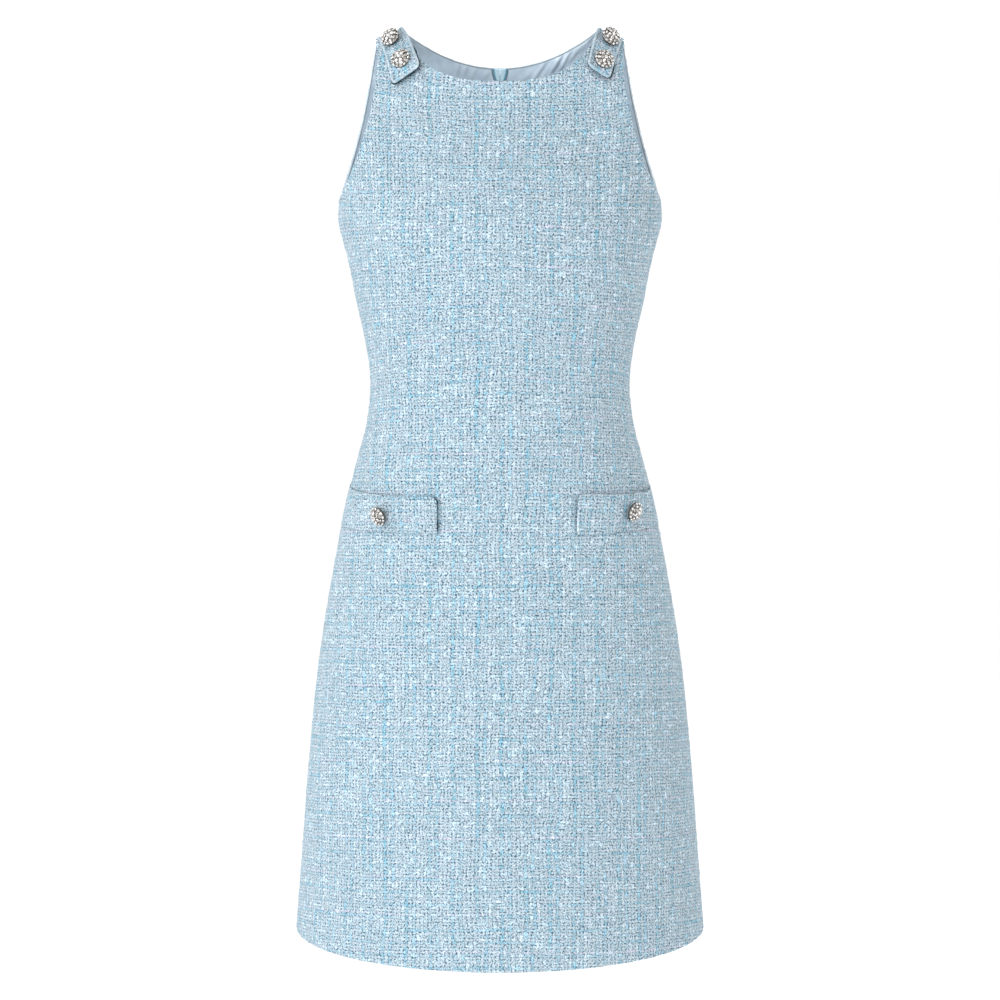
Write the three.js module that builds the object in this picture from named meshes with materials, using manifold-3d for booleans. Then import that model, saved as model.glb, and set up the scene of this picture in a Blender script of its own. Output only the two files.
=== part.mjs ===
// Sleeveless A-line mini dress in light blue tweed, filled out as when worn, hollow and open at
// neck, armholes and hem. Millimetres, +Z up. The origin lies midway between the shoulders, on the
// level of the neck points, where a wearer holds the dress up. The front faces -Y. "Left" and
// "right" are the wearer's, so left is +X.
//
// The cloth is cut as one front and two backs that meet at a centre back zip. All are sections of
// one form, given by a short table of levels. Trims, lining and zip tapes are made from the same
// form, moved out or in.

import * as THREE from 'three';
import { mergeVertices } from 'three/addons/utils/BufferGeometryUtils.js';
import Module from 'manifold-3d';

const wasm = await Module();
wasm.setup();

// ---------------------------------------------------------------- driving dimensions

const LEFT = 1;
const RIGHT = -1;
const FRONT = -1;
const BACK = 1;

const TWEED_WALL = 2;
const LINING_WALL = 1;
const SEAM_GAP = 0.3;
const HALF_SEAM = SEAM_GAP / 2;

const HEM_Z = -862;
const UNDERARM_Z = -158;

// The shoulder seam runs straight from the neck point out to the tip, and the cloth rolls off it.
const SHOULDER = { neckX: 91, tipX: 115.3, slope: 0.43, rollDrop: 58 };

// A neckline falls from the neck points to its centre as drop * (1 - (x / neckX) ^ power) ^ flat.
const FRONT_NECK = { drop: 47.4, power: 3, flat: 0.77 };
const BACK_NECK = { drop: 34.2, power: 2.05, flat: 1 };

// Levels of the form: half width, depth in front of and behind the shoulder line, and how far
// the section bulges past an ellipse towards its corners.
const LEVELS = [
  { z: 0, half: 144, front: 42, back: 44, square: 0.04 },
  { z: -30, half: 147, front: 49, back: 57, square: 0.05 },
  { z: -60, half: 149.5, front: 58, back: 72, square: 0.06 },
  { z: -95, half: 152, front: 77, back: 88, square: 0.08 },
  { z: -130, half: 153, front: 97, back: 96, square: 0.1 },
  { z: -158, half: 151, front: 110.5, back: 99, square: 0.11 },
  { z: -177, half: 151.8, front: 116.5, back: 99.5, square: 0.12 },
  { z: -195, half: 147.7, front: 119.5, back: 98.5, square: 0.12 },
  { z: -214, half: 142.7, front: 119, back: 96.5, square: 0.12 },
  { z: -252, half: 135.5, front: 110.5, back: 91.5, square: 0.1 },
  { z: -290, half: 127.3, front: 100, back: 88, square: 0.09 },
  { z: -328, half: 122.8, front: 94, back: 88, square: 0.08 },
  { z: -366, half: 126.4, front: 95, back: 93, square: 0.07 },
  { z: -404, half: 136.2, front: 99, back: 102, square: 0.06 },
  { z: -443, half: 146.5, front: 105, back: 111, square: 0.05 },
  { z: -501, half: 158, front: 114, back: 121, square: 0.04 },
  { z: -560, half: 168.6, front: 121, back: 126, square: 0.03 },
  { z: -618, half: 176.8, front: 127, back: 129, square: 0.02 },
  { z: -697, half: 184.9, front: 134, back: 133, square: 0.01 },
  { z: -777, half: 191.5, front: 140, back: 138, square: 0 },
  { z: HEM_Z, half: 198.6, front: 147.5, back: 143, square: 0 },
];

// Distance of the armhole edges from the centre line. The back is cut wider than the front.
const ARMHOLE = [
  { z: -8, front: 115.3, back: 115.3 },
  { z: -28, front: 113.4, back: 119.5 },
  { z: -65, front: 117.8, back: 127.3 },
  { z: -93, front: 124.3, back: 134 },
  { z: -124, front: 134.9, back: 142.4 },
  { z: -142, front: 142.6, back: 147.4 },
  { z: UNDERARM_Z, front: 151, back: 151 },
];

// Soft upright troughs where the cloth eases: middle, half width, half length, and depth.
const FOLDS = [
  { side: FRONT, x: -93, z: -112, across: 24, along: 62, depth: 2.6 },
  { side: FRONT, x: 88, z: -118, across: 25, along: 68, depth: 2.8 },
  { side: BACK, x: -88, z: -122, across: 28, along: 62, depth: 2.4 },
  { side: BACK, x: 93, z: -116, across: 26, along: 58, depth: 2.6 },
  { side: BACK, x: -47, z: -352, across: 30, along: 74, depth: 2.4 },
  { side: BACK, x: 52, z: -345, across: 28, along: 66, depth: 2.6 },
];

// Fineness of the panels: columns from centre to neck point and on to the side, rows above and
// below the underarm, and how strongly the rows below crowd towards the bust.
const PANEL_GRID = { toNeckPoint: 9, toSide: 5, above: 13, below: 21, crowd: 1.35 };

const LINING = { rowsBelowUnderarm: 1 };

const ZIP = {
  tapeTop: 7.2, tapeHalf: 3.6, taperTop: -36, taperBottom: -52, rowsBelowUnderarm: 8,
};

const SLIDER = {
  z: -46, seat: 0.3, width: 5.2, length: 10, plate: 1.2,
  archWidth: 1.8, archLength: 7, archHeight: 3.4, archRoot: 0.4, holeLength: 4.4, holeHeight: 2.4,
};

const PULL = {
  thick: 1.2, bar: 1.3, topWidth: 5.4, slotWidth: 2.8, slotLength: 4.9, neckWidth: 3.2, neckAt: 9,
  dropWidth: 6.2, length: 23,
};

// Shoulder tabs are sewn into the shoulder seam and lean towards the neck as they run forward.
const TAB = {
  width: 24, length: 60, corner: 7, liftFrom: 38, lift: 1.3, columns: 6, rows: 13, crowd: 1.35,
};
const TABS = [
  { name: 'shoulder_tab_right', hand: RIGHT, lean: 0.32 },
  { name: 'shoulder_tab_left', hand: LEFT, lean: 0.19 },
];
const TAB_BUTTON_ALONG = [17, 44.5];

// Pocket welts are sewn down along the bottom and stand off a little along the top.
const WELT = { top: -427, corner: 6, lift: 1.2, seamReach: 1.6, columns: 12, rows: 6, crowd: 1.4 };
const WELTS = [
  { name: 'pocket_welt_right', hand: RIGHT, inner: 57, innerDeep: 32, outerDeep: 38.5, buttonX: 109.5 },
  { name: 'pocket_welt_left', hand: LEFT, inner: 70, innerDeep: 34, outerDeep: 36.5, buttonX: 122.5 },
];
const WELT_BUTTON_DOWN = 20.5;

const TRIM_WALL = 2;
const TRIM_GAP = 0.4;

// A button is a metal cup with two rings of crystals round a middle one, raised from its dome.
const BUTTON = {
  radius: 9.1, cup: 2.2, height: 7.6, footRadius: 6.4, footBevel: 0.8,
  facets: 20, innerCrystals: 5, outerCrystals: 10,
};
const BUTTON_RINGS = [
  { at: 0.24, bump: 0, crystals: 'inner', lift: 0.98 },
  { at: 0.42, bump: 0.75, crystals: 'inner', lift: 0.88 },
  { at: 0.6, bump: 0, crystals: 'inner', lift: 0.74 },
  { at: 0.78, bump: 0.7, crystals: 'outer', lift: 0.6 },
  { at: 0.93, bump: 0.2, crystals: 'outer', lift: 0.32 },
];

// ---------------------------------------------------------------- the form

function smoothstep(from, to, value) {
  const t = Math.min(1, Math.max(0, (value - from) / (to - from)));
  return t * t * (3 - 2 * t);
}

// Reads a table of falling z by smooth curves through its rows.
function read(table, column, z) {
  const last = table.length - 1;
  let row = 0;
  while (row < last - 1 && z < table[row + 1].z) row += 1;
  const secant = (k) => (table[k + 1][column] - table[k][column]) / (table[k + 1].z - table[k].z);
  const slope = (k) => {
    if (k === 0) return secant(0);
    if (k === last) return secant(last - 1);
    return (secant(k - 1) + secant(k)) / 2;
  };
  const span = table[row + 1].z - table[row].z;
  const t = Math.min(1, Math.max(0, (z - table[row].z) / span));
  const rise = smoothstep(0, 1, t);
  const leave = t * (1 - t) ** 2;
  const arrive = t * t * (t - 1);
  return table[row][column] * (1 - rise) + table[row + 1][column] * rise
    + span * (leave * slope(row) + arrive * slope(row + 1));
}

function ridgeZ(x) {
  return -SHOULDER.slope * (Math.abs(x) - SHOULDER.neckX);
}

function foldDepth(side, x, z) {
  let depth = 0;
  for (const fold of FOLDS) {
    if (fold.side !== side) continue;
    const r = ((x - fold.x) / fold.across) ** 2 + ((z - fold.z) / fold.along) ** 2;
    if (r < 1) depth += fold.depth * (1 - r) ** 2;
  }
  return depth;
}

// How far the cloth has rolled over the shoulder at a drop below the ridge: 0 on it, 1 past it.
function roll(drop) {
  const t = Math.min(1, Math.max(0, drop / SHOULDER.rollDrop));
  return Math.sqrt(1 - (1 - t) ** 2);
}

function surfaceY(side, x, z) {
  const across = Math.min(1, Math.abs(x) / read(LEVELS, 'half', z));
  const depth = read(LEVELS, side === FRONT ? 'front' : 'back', z);
  const full = 1 + read(LEVELS, 'square', z) * across ** 2;
  const section = depth * full * Math.sqrt(1 - across ** 2);
  return side * (section * roll(ridgeZ(x) - z) - foldDepth(side, x, z));
}

function neckZ(side, x) {
  const neck = side === FRONT ? FRONT_NECK : BACK_NECK;
  const across = Math.min(1, Math.abs(x) / SHOULDER.neckX);
  return -neck.drop * (1 - across ** neck.power) ** neck.flat;
}

function topZ(side, x) {
  return Math.abs(x) < SHOULDER.neckX ? neckZ(side, x) : ridgeZ(x);
}

// The angle round the section at which the panel ends: the side seam, or the armhole above it.
function edgeAngle(side, z) {
  if (z <= UNDERARM_Z) return Math.PI / 2;
  const edge = read(ARMHOLE, side === FRONT ? 'front' : 'back', z);
  return Math.asin(Math.min(1, edge / read(LEVELS, 'half', z)));
}

// x of a column that lies the given share of the way round from centre to edge.
function columnX(side, share, z) {
  return read(LEVELS, 'half', z) * Math.sin(share * edgeAngle(side, z));
}

function zipX(z) {
  const open = smoothstep(ZIP.taperBottom, ZIP.taperTop, z);
  return ZIP.tapeHalf + (ZIP.tapeTop - ZIP.tapeHalf) * open;
}

// ---------------------------------------------------------------- panels

// Shares of the way round at which the columns lie. One lies on the neck point.
function columnShares(side) {
  const neckAngle = Math.asin(SHOULDER.neckX / read(LEVELS, 'half', 0));
  const neckShare = neckAngle / edgeAngle(side, ridgeZ(SHOULDER.tipX));
  const shares = [];
  for (let i = 0; i <= PANEL_GRID.toNeckPoint; i += 1) {
    shares.push(neckShare * i / PANEL_GRID.toNeckPoint);
  }
  for (let i = 1; i <= PANEL_GRID.toSide; i += 1) {
    shares.push(neckShare + (1 - neckShare) * i / PANEL_GRID.toSide);
  }
  return shares;
}

// The x of one column at one level. On a back, the second column follows the zip tape's edge.
function gridX(side, column, shares, z) {
  const x = columnX(side, shares[column], z);
  return side === BACK && column === 1 ? zipX(z) : x;
}

const TOP_PASSES = 40;

// A column's top is where it meets the neckline or shoulder seam, found by repeated trial.
function columnTop(side, column, shares) {
  if (column === shares.length - 1) return ridgeZ(SHOULDER.tipX);
  if (column === PANEL_GRID.toNeckPoint) return 0;
  let z = ridgeZ(SHOULDER.tipX);
  for (let pass = 0; pass < TOP_PASSES; pass += 1) z = topZ(side, gridX(side, column, shares, z));
  return z;
}

// Rows gather at the top edge and at the underarm, and spread out towards the hem.
function rowZ(row, top) {
  if (row <= PANEL_GRID.above) {
    const down = (1 - Math.cos(Math.PI * row / PANEL_GRID.above)) / 2;
    return top + (UNDERARM_Z - top) * down;
  }
  const down = (row - PANEL_GRID.above) / PANEL_GRID.below;
  return UNDERARM_Z + (HEM_Z - UNDERARM_Z) * down ** PANEL_GRID.crowd;
}

// One point of a panel. Shoulder and side seams lie half a gap from the plane y = 0, and the
// centre back lies half a gap from x = 0.
function panelPoint(side, hand, shares, row, column) {
  const z = rowZ(row, columnTop(side, column, shares));
  const onShoulder = row === 0 && column >= PANEL_GRID.toNeckPoint;
  const onSide = row >= PANEL_GRID.above && column === shares.length - 1;
  const seamX = side === BACK && column === 0;
  const seamY = onShoulder || onSide;
  let x = gridX(side, column, shares, z);
  if (row === 0 && column === PANEL_GRID.toNeckPoint) x = SHOULDER.neckX;
  if (seamX) x = HALF_SEAM;
  const y = seamY ? side * HALF_SEAM : surfaceY(side, hand * x, z);
  return { at: new THREE.Vector3(hand * x, y, z), seamX, seamY };
}

// Rows of points from the top edge down to the hem. A back runs from its centre out to its side,
// and the front from its right side seam to its left.
function panelRows(side, hand) {
  const shares = columnShares(side);
  const half = (which) => shares.map((share, column) => ({ hand: which, column }));
  const columns = side === BACK ? half(hand) : [...half(RIGHT).slice(1).reverse(), ...half(LEFT)];
  const rows = [];
  for (let row = 0; row <= PANEL_GRID.above + PANEL_GRID.below; row += 1) {
    rows.push(columns.map((place) => panelPoint(side, place.hand, shares, row, place.column)));
  }
  return rows;
}

// Outward directions at each point of a grid. At a seam they lie in the seam's own plane.
function addNormals(rows) {
  const last = rows.length - 1;
  rows.forEach((row, r) => row.forEach((point, c) => {
    const along = rows[Math.min(last, r + 1)][c].at.clone().sub(rows[Math.max(0, r - 1)][c].at);
    const across = row[Math.min(row.length - 1, c + 1)].at.clone().sub(row[Math.max(0, c - 1)].at);
    const normal = across.cross(along);
    if (point.seamY) normal.y = 0;
    if (point.seamX) normal.x = 0;
    normal.normalize();
    if (normal.x * point.at.x + normal.y * point.at.y < 0) normal.negate();
    point.normal = normal;
  }));
  return rows;
}

// Closed wall between two copies of a grid, moved along its normals.
function wallGeometry(rows, outer, inner) {
  const [height, width] = [rows.length, rows[0].length];
  const positions = [];
  for (const offset of [outer, inner]) {
    for (const row of rows) {
      for (const point of row) {
        const far = typeof offset === 'function' ? offset(point) : offset;
        const at = point.at.clone().addScaledVector(point.normal, far);
        positions.push(at.x, at.y, at.z);
      }
    }
  }
  const index = (layer, r, c) => (layer * height + r) * width + c;
  const faces = [];
  const quad = (a, b, c, d) => faces.push(a, b, c, a, c, d);
  for (let r = 0; r < height - 1; r += 1) {
    for (let c = 0; c < width - 1; c += 1) {
      quad(index(0, r, c), index(0, r + 1, c), index(0, r + 1, c + 1), index(0, r, c + 1));
      quad(index(1, r, c), index(1, r, c + 1), index(1, r + 1, c + 1), index(1, r + 1, c));
    }
  }
  for (let c = 0; c < width - 1; c += 1) {
    const low = height - 1;
    quad(index(0, 0, c), index(0, 0, c + 1), index(1, 0, c + 1), index(1, 0, c));
    quad(index(0, low, c), index(1, low, c), index(1, low, c + 1), index(0, low, c + 1));
  }
  for (let r = 0; r < height - 1; r += 1) {
    const far = width - 1;
    quad(index(0, r, 0), index(1, r, 0), index(1, r + 1, 0), index(0, r + 1, 0));
    quad(index(0, r, far), index(0, r + 1, far), index(1, r + 1, far), index(1, r, far));
  }
  return facingOut(positions, faces);
}

function signedVolume(positions, faces) {
  const corner = (k) => new THREE.Vector3().fromArray(positions, faces[k] * 3);
  let sum = 0;
  for (let k = 0; k < faces.length; k += 3) {
    sum += corner(k).dot(corner(k + 1).cross(corner(k + 2))) / 6;
  }
  return sum;
}

function facingOut(positions, faces) {
  const turned = signedVolume(positions, faces) > 0 ? faces : [...faces].reverse();
  const geometry = new THREE.BufferGeometry();
  geometry.setAttribute('position', new THREE.Float32BufferAttribute(positions, 3));
  geometry.setIndex(turned);
  return geometry;
}

function panelGeometry(side, hand) {
  const rows = addNormals(panelRows(side, hand));
  return wallGeometry(rows, 0, -TWEED_WALL);
}

// ---------------------------------------------------------------- lining and zip tapes

function between(a, b, share) {
  return {
    at: a.at.clone().lerp(b.at, share),
    normal: a.normal.clone().lerp(b.normal, share).normalize(),
  };
}

// A strip of the back's own grid, from one column to another, with its first and last columns
// drawn in by a small distance so that it clears its neighbours.
function backStrip(hand, firstColumn, lastColumn, rowCount, drawIn) {
  const rows = addNormals(panelRows(BACK, hand)).slice(0, rowCount);
  return rows.map((row) => {
    const strip = row.slice(firstColumn, lastColumn + 1);
    const [first, second] = strip;
    const [beforeLast, last] = strip.slice(-2);
    const firstShare = drawIn.first / first.at.distanceTo(second.at);
    const lastShare = drawIn.last / last.at.distanceTo(beforeLast.at);
    const inner = strip.slice(1, -1);
    return [between(first, second, firstShare), ...inner, between(last, beforeLast, lastShare)];
  });
}

const INSIDE_BACK = -TWEED_WALL - SEAM_GAP;

function liningGeometry(hand) {
  const rowCount = PANEL_GRID.above + 1 + LINING.rowsBelowUnderarm;
  const lastColumn = PANEL_GRID.toNeckPoint + PANEL_GRID.toSide;
  const rows = backStrip(hand, 1, lastColumn, rowCount, { first: HALF_SEAM, last: 0 });
  return wallGeometry(rows, INSIDE_BACK, INSIDE_BACK - LINING_WALL);
}

function zipTapeGeometry(hand) {
  const rowCount = PANEL_GRID.above + 1 + ZIP.rowsBelowUnderarm;
  const rows = backStrip(hand, 0, 1, rowCount, { first: HALF_SEAM, last: HALF_SEAM });
  return wallGeometry(rows, INSIDE_BACK, INSIDE_BACK - LINING_WALL);
}

// ---------------------------------------------------------------- trims on the front

// A point of the front reached over the shoulder: x, and the distance rolled down from the ridge.
function overShoulder(x, rolled) {
  const quarter = SHOULDER.rollDrop * Math.PI / 2;
  const drop = rolled < quarter
    ? SHOULDER.rollDrop * (1 - Math.cos(rolled / SHOULDER.rollDrop))
    : SHOULDER.rollDrop + rolled - quarter;
  const z = ridgeZ(x) - drop;
  const y = Math.min(-HALF_SEAM, surfaceY(FRONT, x, z));
  return new THREE.Vector3(x, y, z);
}

function normalOf(point, alongU, alongV, outward) {
  const normal = alongU.clone().sub(point).cross(alongV.clone().sub(point)).normalize();
  if (normal.dot(outward) < 0) normal.negate();
  return normal;
}

const PROBE = 0.5;

// Cloth run along a tab's middle, measured over the shoulder, for each rolled distance.
function tabLine(tab) {
  const line = [{ rolled: 0, run: 0, x: tabMiddleX(tab, 0) }];
  const step = 0.5;
  while (line[line.length - 1].run < TAB.length + BUTTON.radius) {
    const before = line[line.length - 1];
    const rolled = before.rolled + step;
    const from = overShoulder(before.x, before.rolled);
    let x = before.x;
    let to = from;
    for (let pass = 0; pass < 3; pass += 1) {
      to = overShoulder(x, rolled);
      x = tabMiddleX(tab, before.run + from.distanceTo(to));
    }
    line.push({ rolled, run: before.run + from.distanceTo(to), x });
  }
  return line;
}

function tabMiddleX(tab, run) {
  const middle = (SHOULDER.neckX + SHOULDER.tipX) / 2;
  return tab.hand * (middle - tab.lean * run);
}

function rolledAt(line, run) {
  const next = line.findIndex((entry) => entry.run >= run);
  if (next <= 0) return 0;
  const [a, b] = [line[next - 1], line[next]];
  return a.rolled + (b.rolled - a.rolled) * (run - a.run) / (b.run - a.run);
}

function tabPoint(tab, line, across, run) {
  const rolled = rolledAt(line, run);
  const x = tabMiddleX(tab, run) + across;
  const at = overShoulder(x, rolled);
  const beside = overShoulder(x + PROBE, rolled);
  const below = overShoulder(x, rolled + PROBE);
  const normal = normalOf(at, beside, below, new THREE.Vector3(0, -1, 1));
  if (run === 0) {
    normal.y = 0;
    normal.normalize();
  }
  return { at, normal, run };
}

function tabRows(tab) {
  const line = tabLine(tab);
  const rows = [];
  for (let row = 0; row <= TAB.rows; row += 1) {
    const t = row / TAB.rows;
    const run = TAB.length * (1 - (1 - t) ** TAB.crowd);
    const past = Math.max(0, run - (TAB.length - TAB.corner));
    const tuck = TAB.corner - Math.sqrt(TAB.corner ** 2 - past ** 2);
    const half = TAB.width / 2 - tuck;
    const points = [];
    for (let column = 0; column <= TAB.columns; column += 1) {
      points.push(tabPoint(tab, line, half * (2 * column / TAB.columns - 1), run));
    }
    rows.push(points);
  }
  return rows;
}

function tabLift(point) {
  return TRIM_GAP + TAB.lift * smoothstep(TAB.liftFrom, TAB.length, point.run);
}

function tabGeometry(tab) {
  return wallGeometry(tabRows(tab), (point) => tabLift(point) + TRIM_WALL, tabLift);
}

function frontPoint(x, z) {
  const at = new THREE.Vector3(x, surfaceY(FRONT, x, z), z);
  const half = read(LEVELS, 'half', z);
  const angle = Math.asin(Math.min(1, Math.abs(x) / half));
  const turned = Math.sign(x) * half * Math.sin(angle - PROBE / half);
  const beside = new THREE.Vector3(turned, surfaceY(FRONT, turned, z), z);
  const below = new THREE.Vector3(x, surfaceY(FRONT, x, z - PROBE), z - PROBE);
  return { at, normal: normalOf(at, beside, below, new THREE.Vector3(x, -half, 0)) };
}

function weltRows(welt) {
  const rows = [];
  for (let row = 0; row <= WELT.rows; row += 1) {
    const down = (row / WELT.rows) ** WELT.crowd;
    const points = [];
    for (let column = 0; column <= WELT.columns; column += 1) {
      const share = column / WELT.columns;
      const deep = welt.innerDeep + (welt.outerDeep - welt.innerDeep) * share;
      const z = WELT.top - deep * down;
      const half = read(LEVELS, 'half', z);
      const past = Math.max(0, WELT.corner - deep * down);
      const tuck = WELT.corner - Math.sqrt(WELT.corner ** 2 - past ** 2);
      const start = Math.asin((welt.inner + tuck) / half);
      const end = Math.PI / 2 - WELT.seamReach / read(LEVELS, 'front', z);
      const x = welt.hand * half * Math.sin(start + (end - start) * share);
      points.push({ ...frontPoint(x, z), down });
    }
    rows.push(points);
  }
  return rows;
}

function weltLift(point) {
  return TRIM_GAP + WELT.lift * (1 - point.down) ** 1.5;
}

function weltGeometry(welt) {
  return wallGeometry(weltRows(welt), (point) => weltLift(point) + TRIM_WALL, weltLift);
}

// ---------------------------------------------------------------- buttons

function buttonGeometry() {
  const { facets, radius, height, cup } = BUTTON;
  const positions = [0, 0, height];
  const ring = (r, z) => {
    for (let k = 0; k < facets; k += 1) {
      const angle = 2 * Math.PI * k / facets;
      positions.push(r * Math.cos(angle), r * Math.sin(angle), z(angle));
    }
  };
  for (const row of BUTTON_RINGS) {
    const count = row.crystals === 'inner' ? BUTTON.innerCrystals : BUTTON.outerCrystals;
    const base = cup + (height - cup) * row.lift;
    ring(radius * row.at, (angle) => base + row.bump * Math.cos(count * angle));
  }
  ring(radius, () => cup);
  ring(radius, () => BUTTON.footBevel);
  ring(BUTTON.footRadius, () => 0);
  positions.push(0, 0, 0);
  const rings = BUTTON_RINGS.length + 3;
  const foot = 1 + rings * facets;
  const faces = [];
  for (let k = 0; k < facets; k += 1) {
    const next = (k + 1) % facets;
    faces.push(0, 1 + k, 1 + next);
    for (let r = 0; r < rings - 1; r += 1) {
      const [a, b] = [1 + r * facets, 1 + (r + 1) * facets];
      faces.push(a + k, b + k, b + next, a + k, b + next, a + next);
    }
    faces.push(1 + (rings - 1) * facets + k, foot, 1 + (rings - 1) * facets + next);
  }
  return facingOut(positions, faces);
}

// Seats a button on a trim. face(across, along) gives the trim's outer face round the button's
// middle, and the foot clears the highest point under it.
function seatButton(mesh, face, outward) {
  const reach = BUTTON.radius;
  const middle = face(0, 0);
  const across = face(reach, 0).sub(face(-reach, 0));
  const normal = across.cross(face(0, reach).sub(face(0, -reach))).normalize();
  if (normal.dot(outward) < 0) normal.negate();
  let highest = 0;
  for (let k = 0; k < BUTTON.facets; k += 1) {
    const angle = 2 * Math.PI * k / BUTTON.facets;
    const rim = face(reach * Math.cos(angle), reach * Math.sin(angle)).sub(middle);
    highest = Math.max(highest, rim.dot(normal));
  }
  mesh.position.copy(middle).addScaledVector(normal, highest + SEAM_GAP);
  mesh.quaternion.setFromUnitVectors(new THREE.Vector3(0, 0, 1), normal);
  return mesh;
}

function outerFace(point, lift) {
  return point.at.clone().addScaledVector(point.normal, lift(point) + TRIM_WALL);
}

// ---------------------------------------------------------------- zip slider and pull

function rectangle(x0, y0, x1, y1) {
  return [[x0, y0], [x1, y0], [x1, y1], [x0, y1]].map(([x, y]) => new THREE.Vector2(x, y));
}

function solidOf(geometry) {
  geometry.deleteAttribute('normal');
  geometry.deleteAttribute('uv');
  const merged = mergeVertices(geometry, 1e-4);
  return new wasm.Manifold(new wasm.Mesh({
    numProp: 3,
    vertProperties: new Float32Array(merged.attributes.position.array),
    triVerts: new Uint32Array(merged.index.array),
  }));
}

function geometryOf(solid) {
  const mesh = solid.getMesh();
  const geometry = new THREE.BufferGeometry();
  geometry.setAttribute('position', new THREE.BufferAttribute(mesh.vertProperties, 3));
  geometry.setIndex(new THREE.BufferAttribute(mesh.triVerts, 1));
  return geometry;
}

// Local axes of slider and pull: x across, y up along the cloth, z out from it.
function sliderGeometry() {
  const { width, length, plate, archWidth, archLength, archHeight } = SLIDER;
  const outline = new THREE.Shape();
  outline.absellipse(0, 0, width / 2, length / 2, 0, 2 * Math.PI);
  const base = new THREE.ExtrudeGeometry(outline, {
    depth: plate, bevelEnabled: false, curveSegments: 10,
  });
  const side = new THREE.Shape(rectangle(-archLength / 2, -SLIDER.archRoot, archLength / 2, archHeight));
  side.holes.push(new THREE.Path(
    rectangle(-SLIDER.holeLength / 2, 0, SLIDER.holeLength / 2, SLIDER.holeHeight).reverse(),
  ));
  const arch = new THREE.ExtrudeGeometry(side, { depth: archWidth, bevelEnabled: false });
  arch.translate(0, 0, -archWidth / 2);
  arch.applyMatrix4(new THREE.Matrix4().makeBasis(
    new THREE.Vector3(0, 1, 0), new THREE.Vector3(0, 0, 1), new THREE.Vector3(1, 0, 0),
  ));
  arch.translate(0, 0, plate);
  return geometryOf(solidOf(base).add(solidOf(arch)));
}

// The pull's top bar lies in the slider's arch and turns about the local x axis. Below its slot
// the pull narrows to a neck and swells to a drop with a round end.
function pullGeometry() {
  const { bar, topWidth, slotWidth, slotLength, neckWidth, neckAt, dropWidth, length } = PULL;
  const top = bar / 2;
  const shoulder = -slotLength - bar;
  const dropRadius = dropWidth / 2;
  const dropMiddle = dropRadius - length;
  const shape = new THREE.Shape();
  shape.moveTo(-topWidth / 2, top);
  shape.lineTo(-topWidth / 2, shoulder);
  shape.quadraticCurveTo(-neckWidth / 2, shoulder, -neckWidth / 2, -neckAt);
  shape.lineTo(-dropRadius, dropMiddle);
  shape.absarc(0, dropMiddle, dropRadius, Math.PI, 2 * Math.PI, false);
  shape.lineTo(neckWidth / 2, -neckAt);
  shape.quadraticCurveTo(neckWidth / 2, shoulder, topWidth / 2, shoulder);
  shape.lineTo(topWidth / 2, top);
  shape.holes.push(new THREE.Path(
    rectangle(-slotWidth / 2, -slotLength, slotWidth / 2, -bar / 2).reverse(),
  ));
  const geometry = new THREE.ExtrudeGeometry(shape, {
    depth: PULL.thick, bevelEnabled: false, curveSegments: 6,
  });
  geometry.translate(0, 0, -PULL.thick / 2);
  return geometryOf(solidOf(geometry));
}

function centreBack(z) {
  return new THREE.Vector3(0, surfaceY(BACK, 0, z), z);
}

function zipHardware() {
  const at = centreBack(SLIDER.z);
  const reach = SLIDER.length / 2;
  const up = centreBack(SLIDER.z + reach).sub(centreBack(SLIDER.z - reach)).normalize();
  const across = new THREE.Vector3(-1, 0, 0);
  const out = across.clone().cross(up);
  const group = new THREE.Group();
  group.position.copy(at).addScaledVector(out, SLIDER.seat);
  group.quaternion.setFromRotationMatrix(new THREE.Matrix4().makeBasis(across, up, out));
  const slider = named('zip_slider', sliderGeometry(), ZIP_METAL);
  const pull = named('zip_pull_tab', pullGeometry(), ZIP_METAL);
  pull.position.set(0, 0, SLIDER.plate + SLIDER.holeHeight / 2);
  group.add(slider, pull);
  return group;
}

// ---------------------------------------------------------------- materials and assembly

const TWEED = { color: 0xb3cbd8, roughness: 0.95, metalness: 0 };
const TWEED_TRIM = { color: 0xa9c3d2, roughness: 0.95, metalness: 0 };
const SATIN = { color: 0x8fa6bb, roughness: 0.4, metalness: 0 };
const TAPE = { color: 0x9fc4d6, roughness: 0.8, metalness: 0 };
const ZIP_METAL = { color: 0xa9b4bc, roughness: 0.3, metalness: 0.9 };
const CRYSTAL_METAL = { color: 0xcfc9c0, roughness: 0.2, metalness: 0.7 };

function named(name, geometry, finish) {
  const mesh = new THREE.Mesh(geometry, new THREE.MeshStandardMaterial(finish));
  mesh.name = name;
  return mesh;
}

const dress = new THREE.Group();

dress.add(named('front', panelGeometry(FRONT), TWEED));
dress.add(named('back_left', panelGeometry(BACK, LEFT), TWEED));
dress.add(named('back_right', panelGeometry(BACK, RIGHT), TWEED));

for (const [word, hand] of [['left', LEFT], ['right', RIGHT]]) {
  dress.add(named(`back_lining_${word}`, liningGeometry(hand), SATIN));
  dress.add(named(`zip_tape_${word}`, zipTapeGeometry(hand), TAPE));
}

for (const tab of TABS) {
  dress.add(named(tab.name, tabGeometry(tab), TWEED_TRIM));
  const line = tabLine(tab);
  TAB_BUTTON_ALONG.forEach((run, i) => {
    const word = ['top', 'low'][i];
    const button = named(`${tab.name}_button_${word}`, buttonGeometry(), CRYSTAL_METAL);
    const face = (across, along) => outerFace(tabPoint(tab, line, across, run + along), tabLift);
    dress.add(seatButton(button, face, new THREE.Vector3(0, -1, 1)));
  });
}

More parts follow.
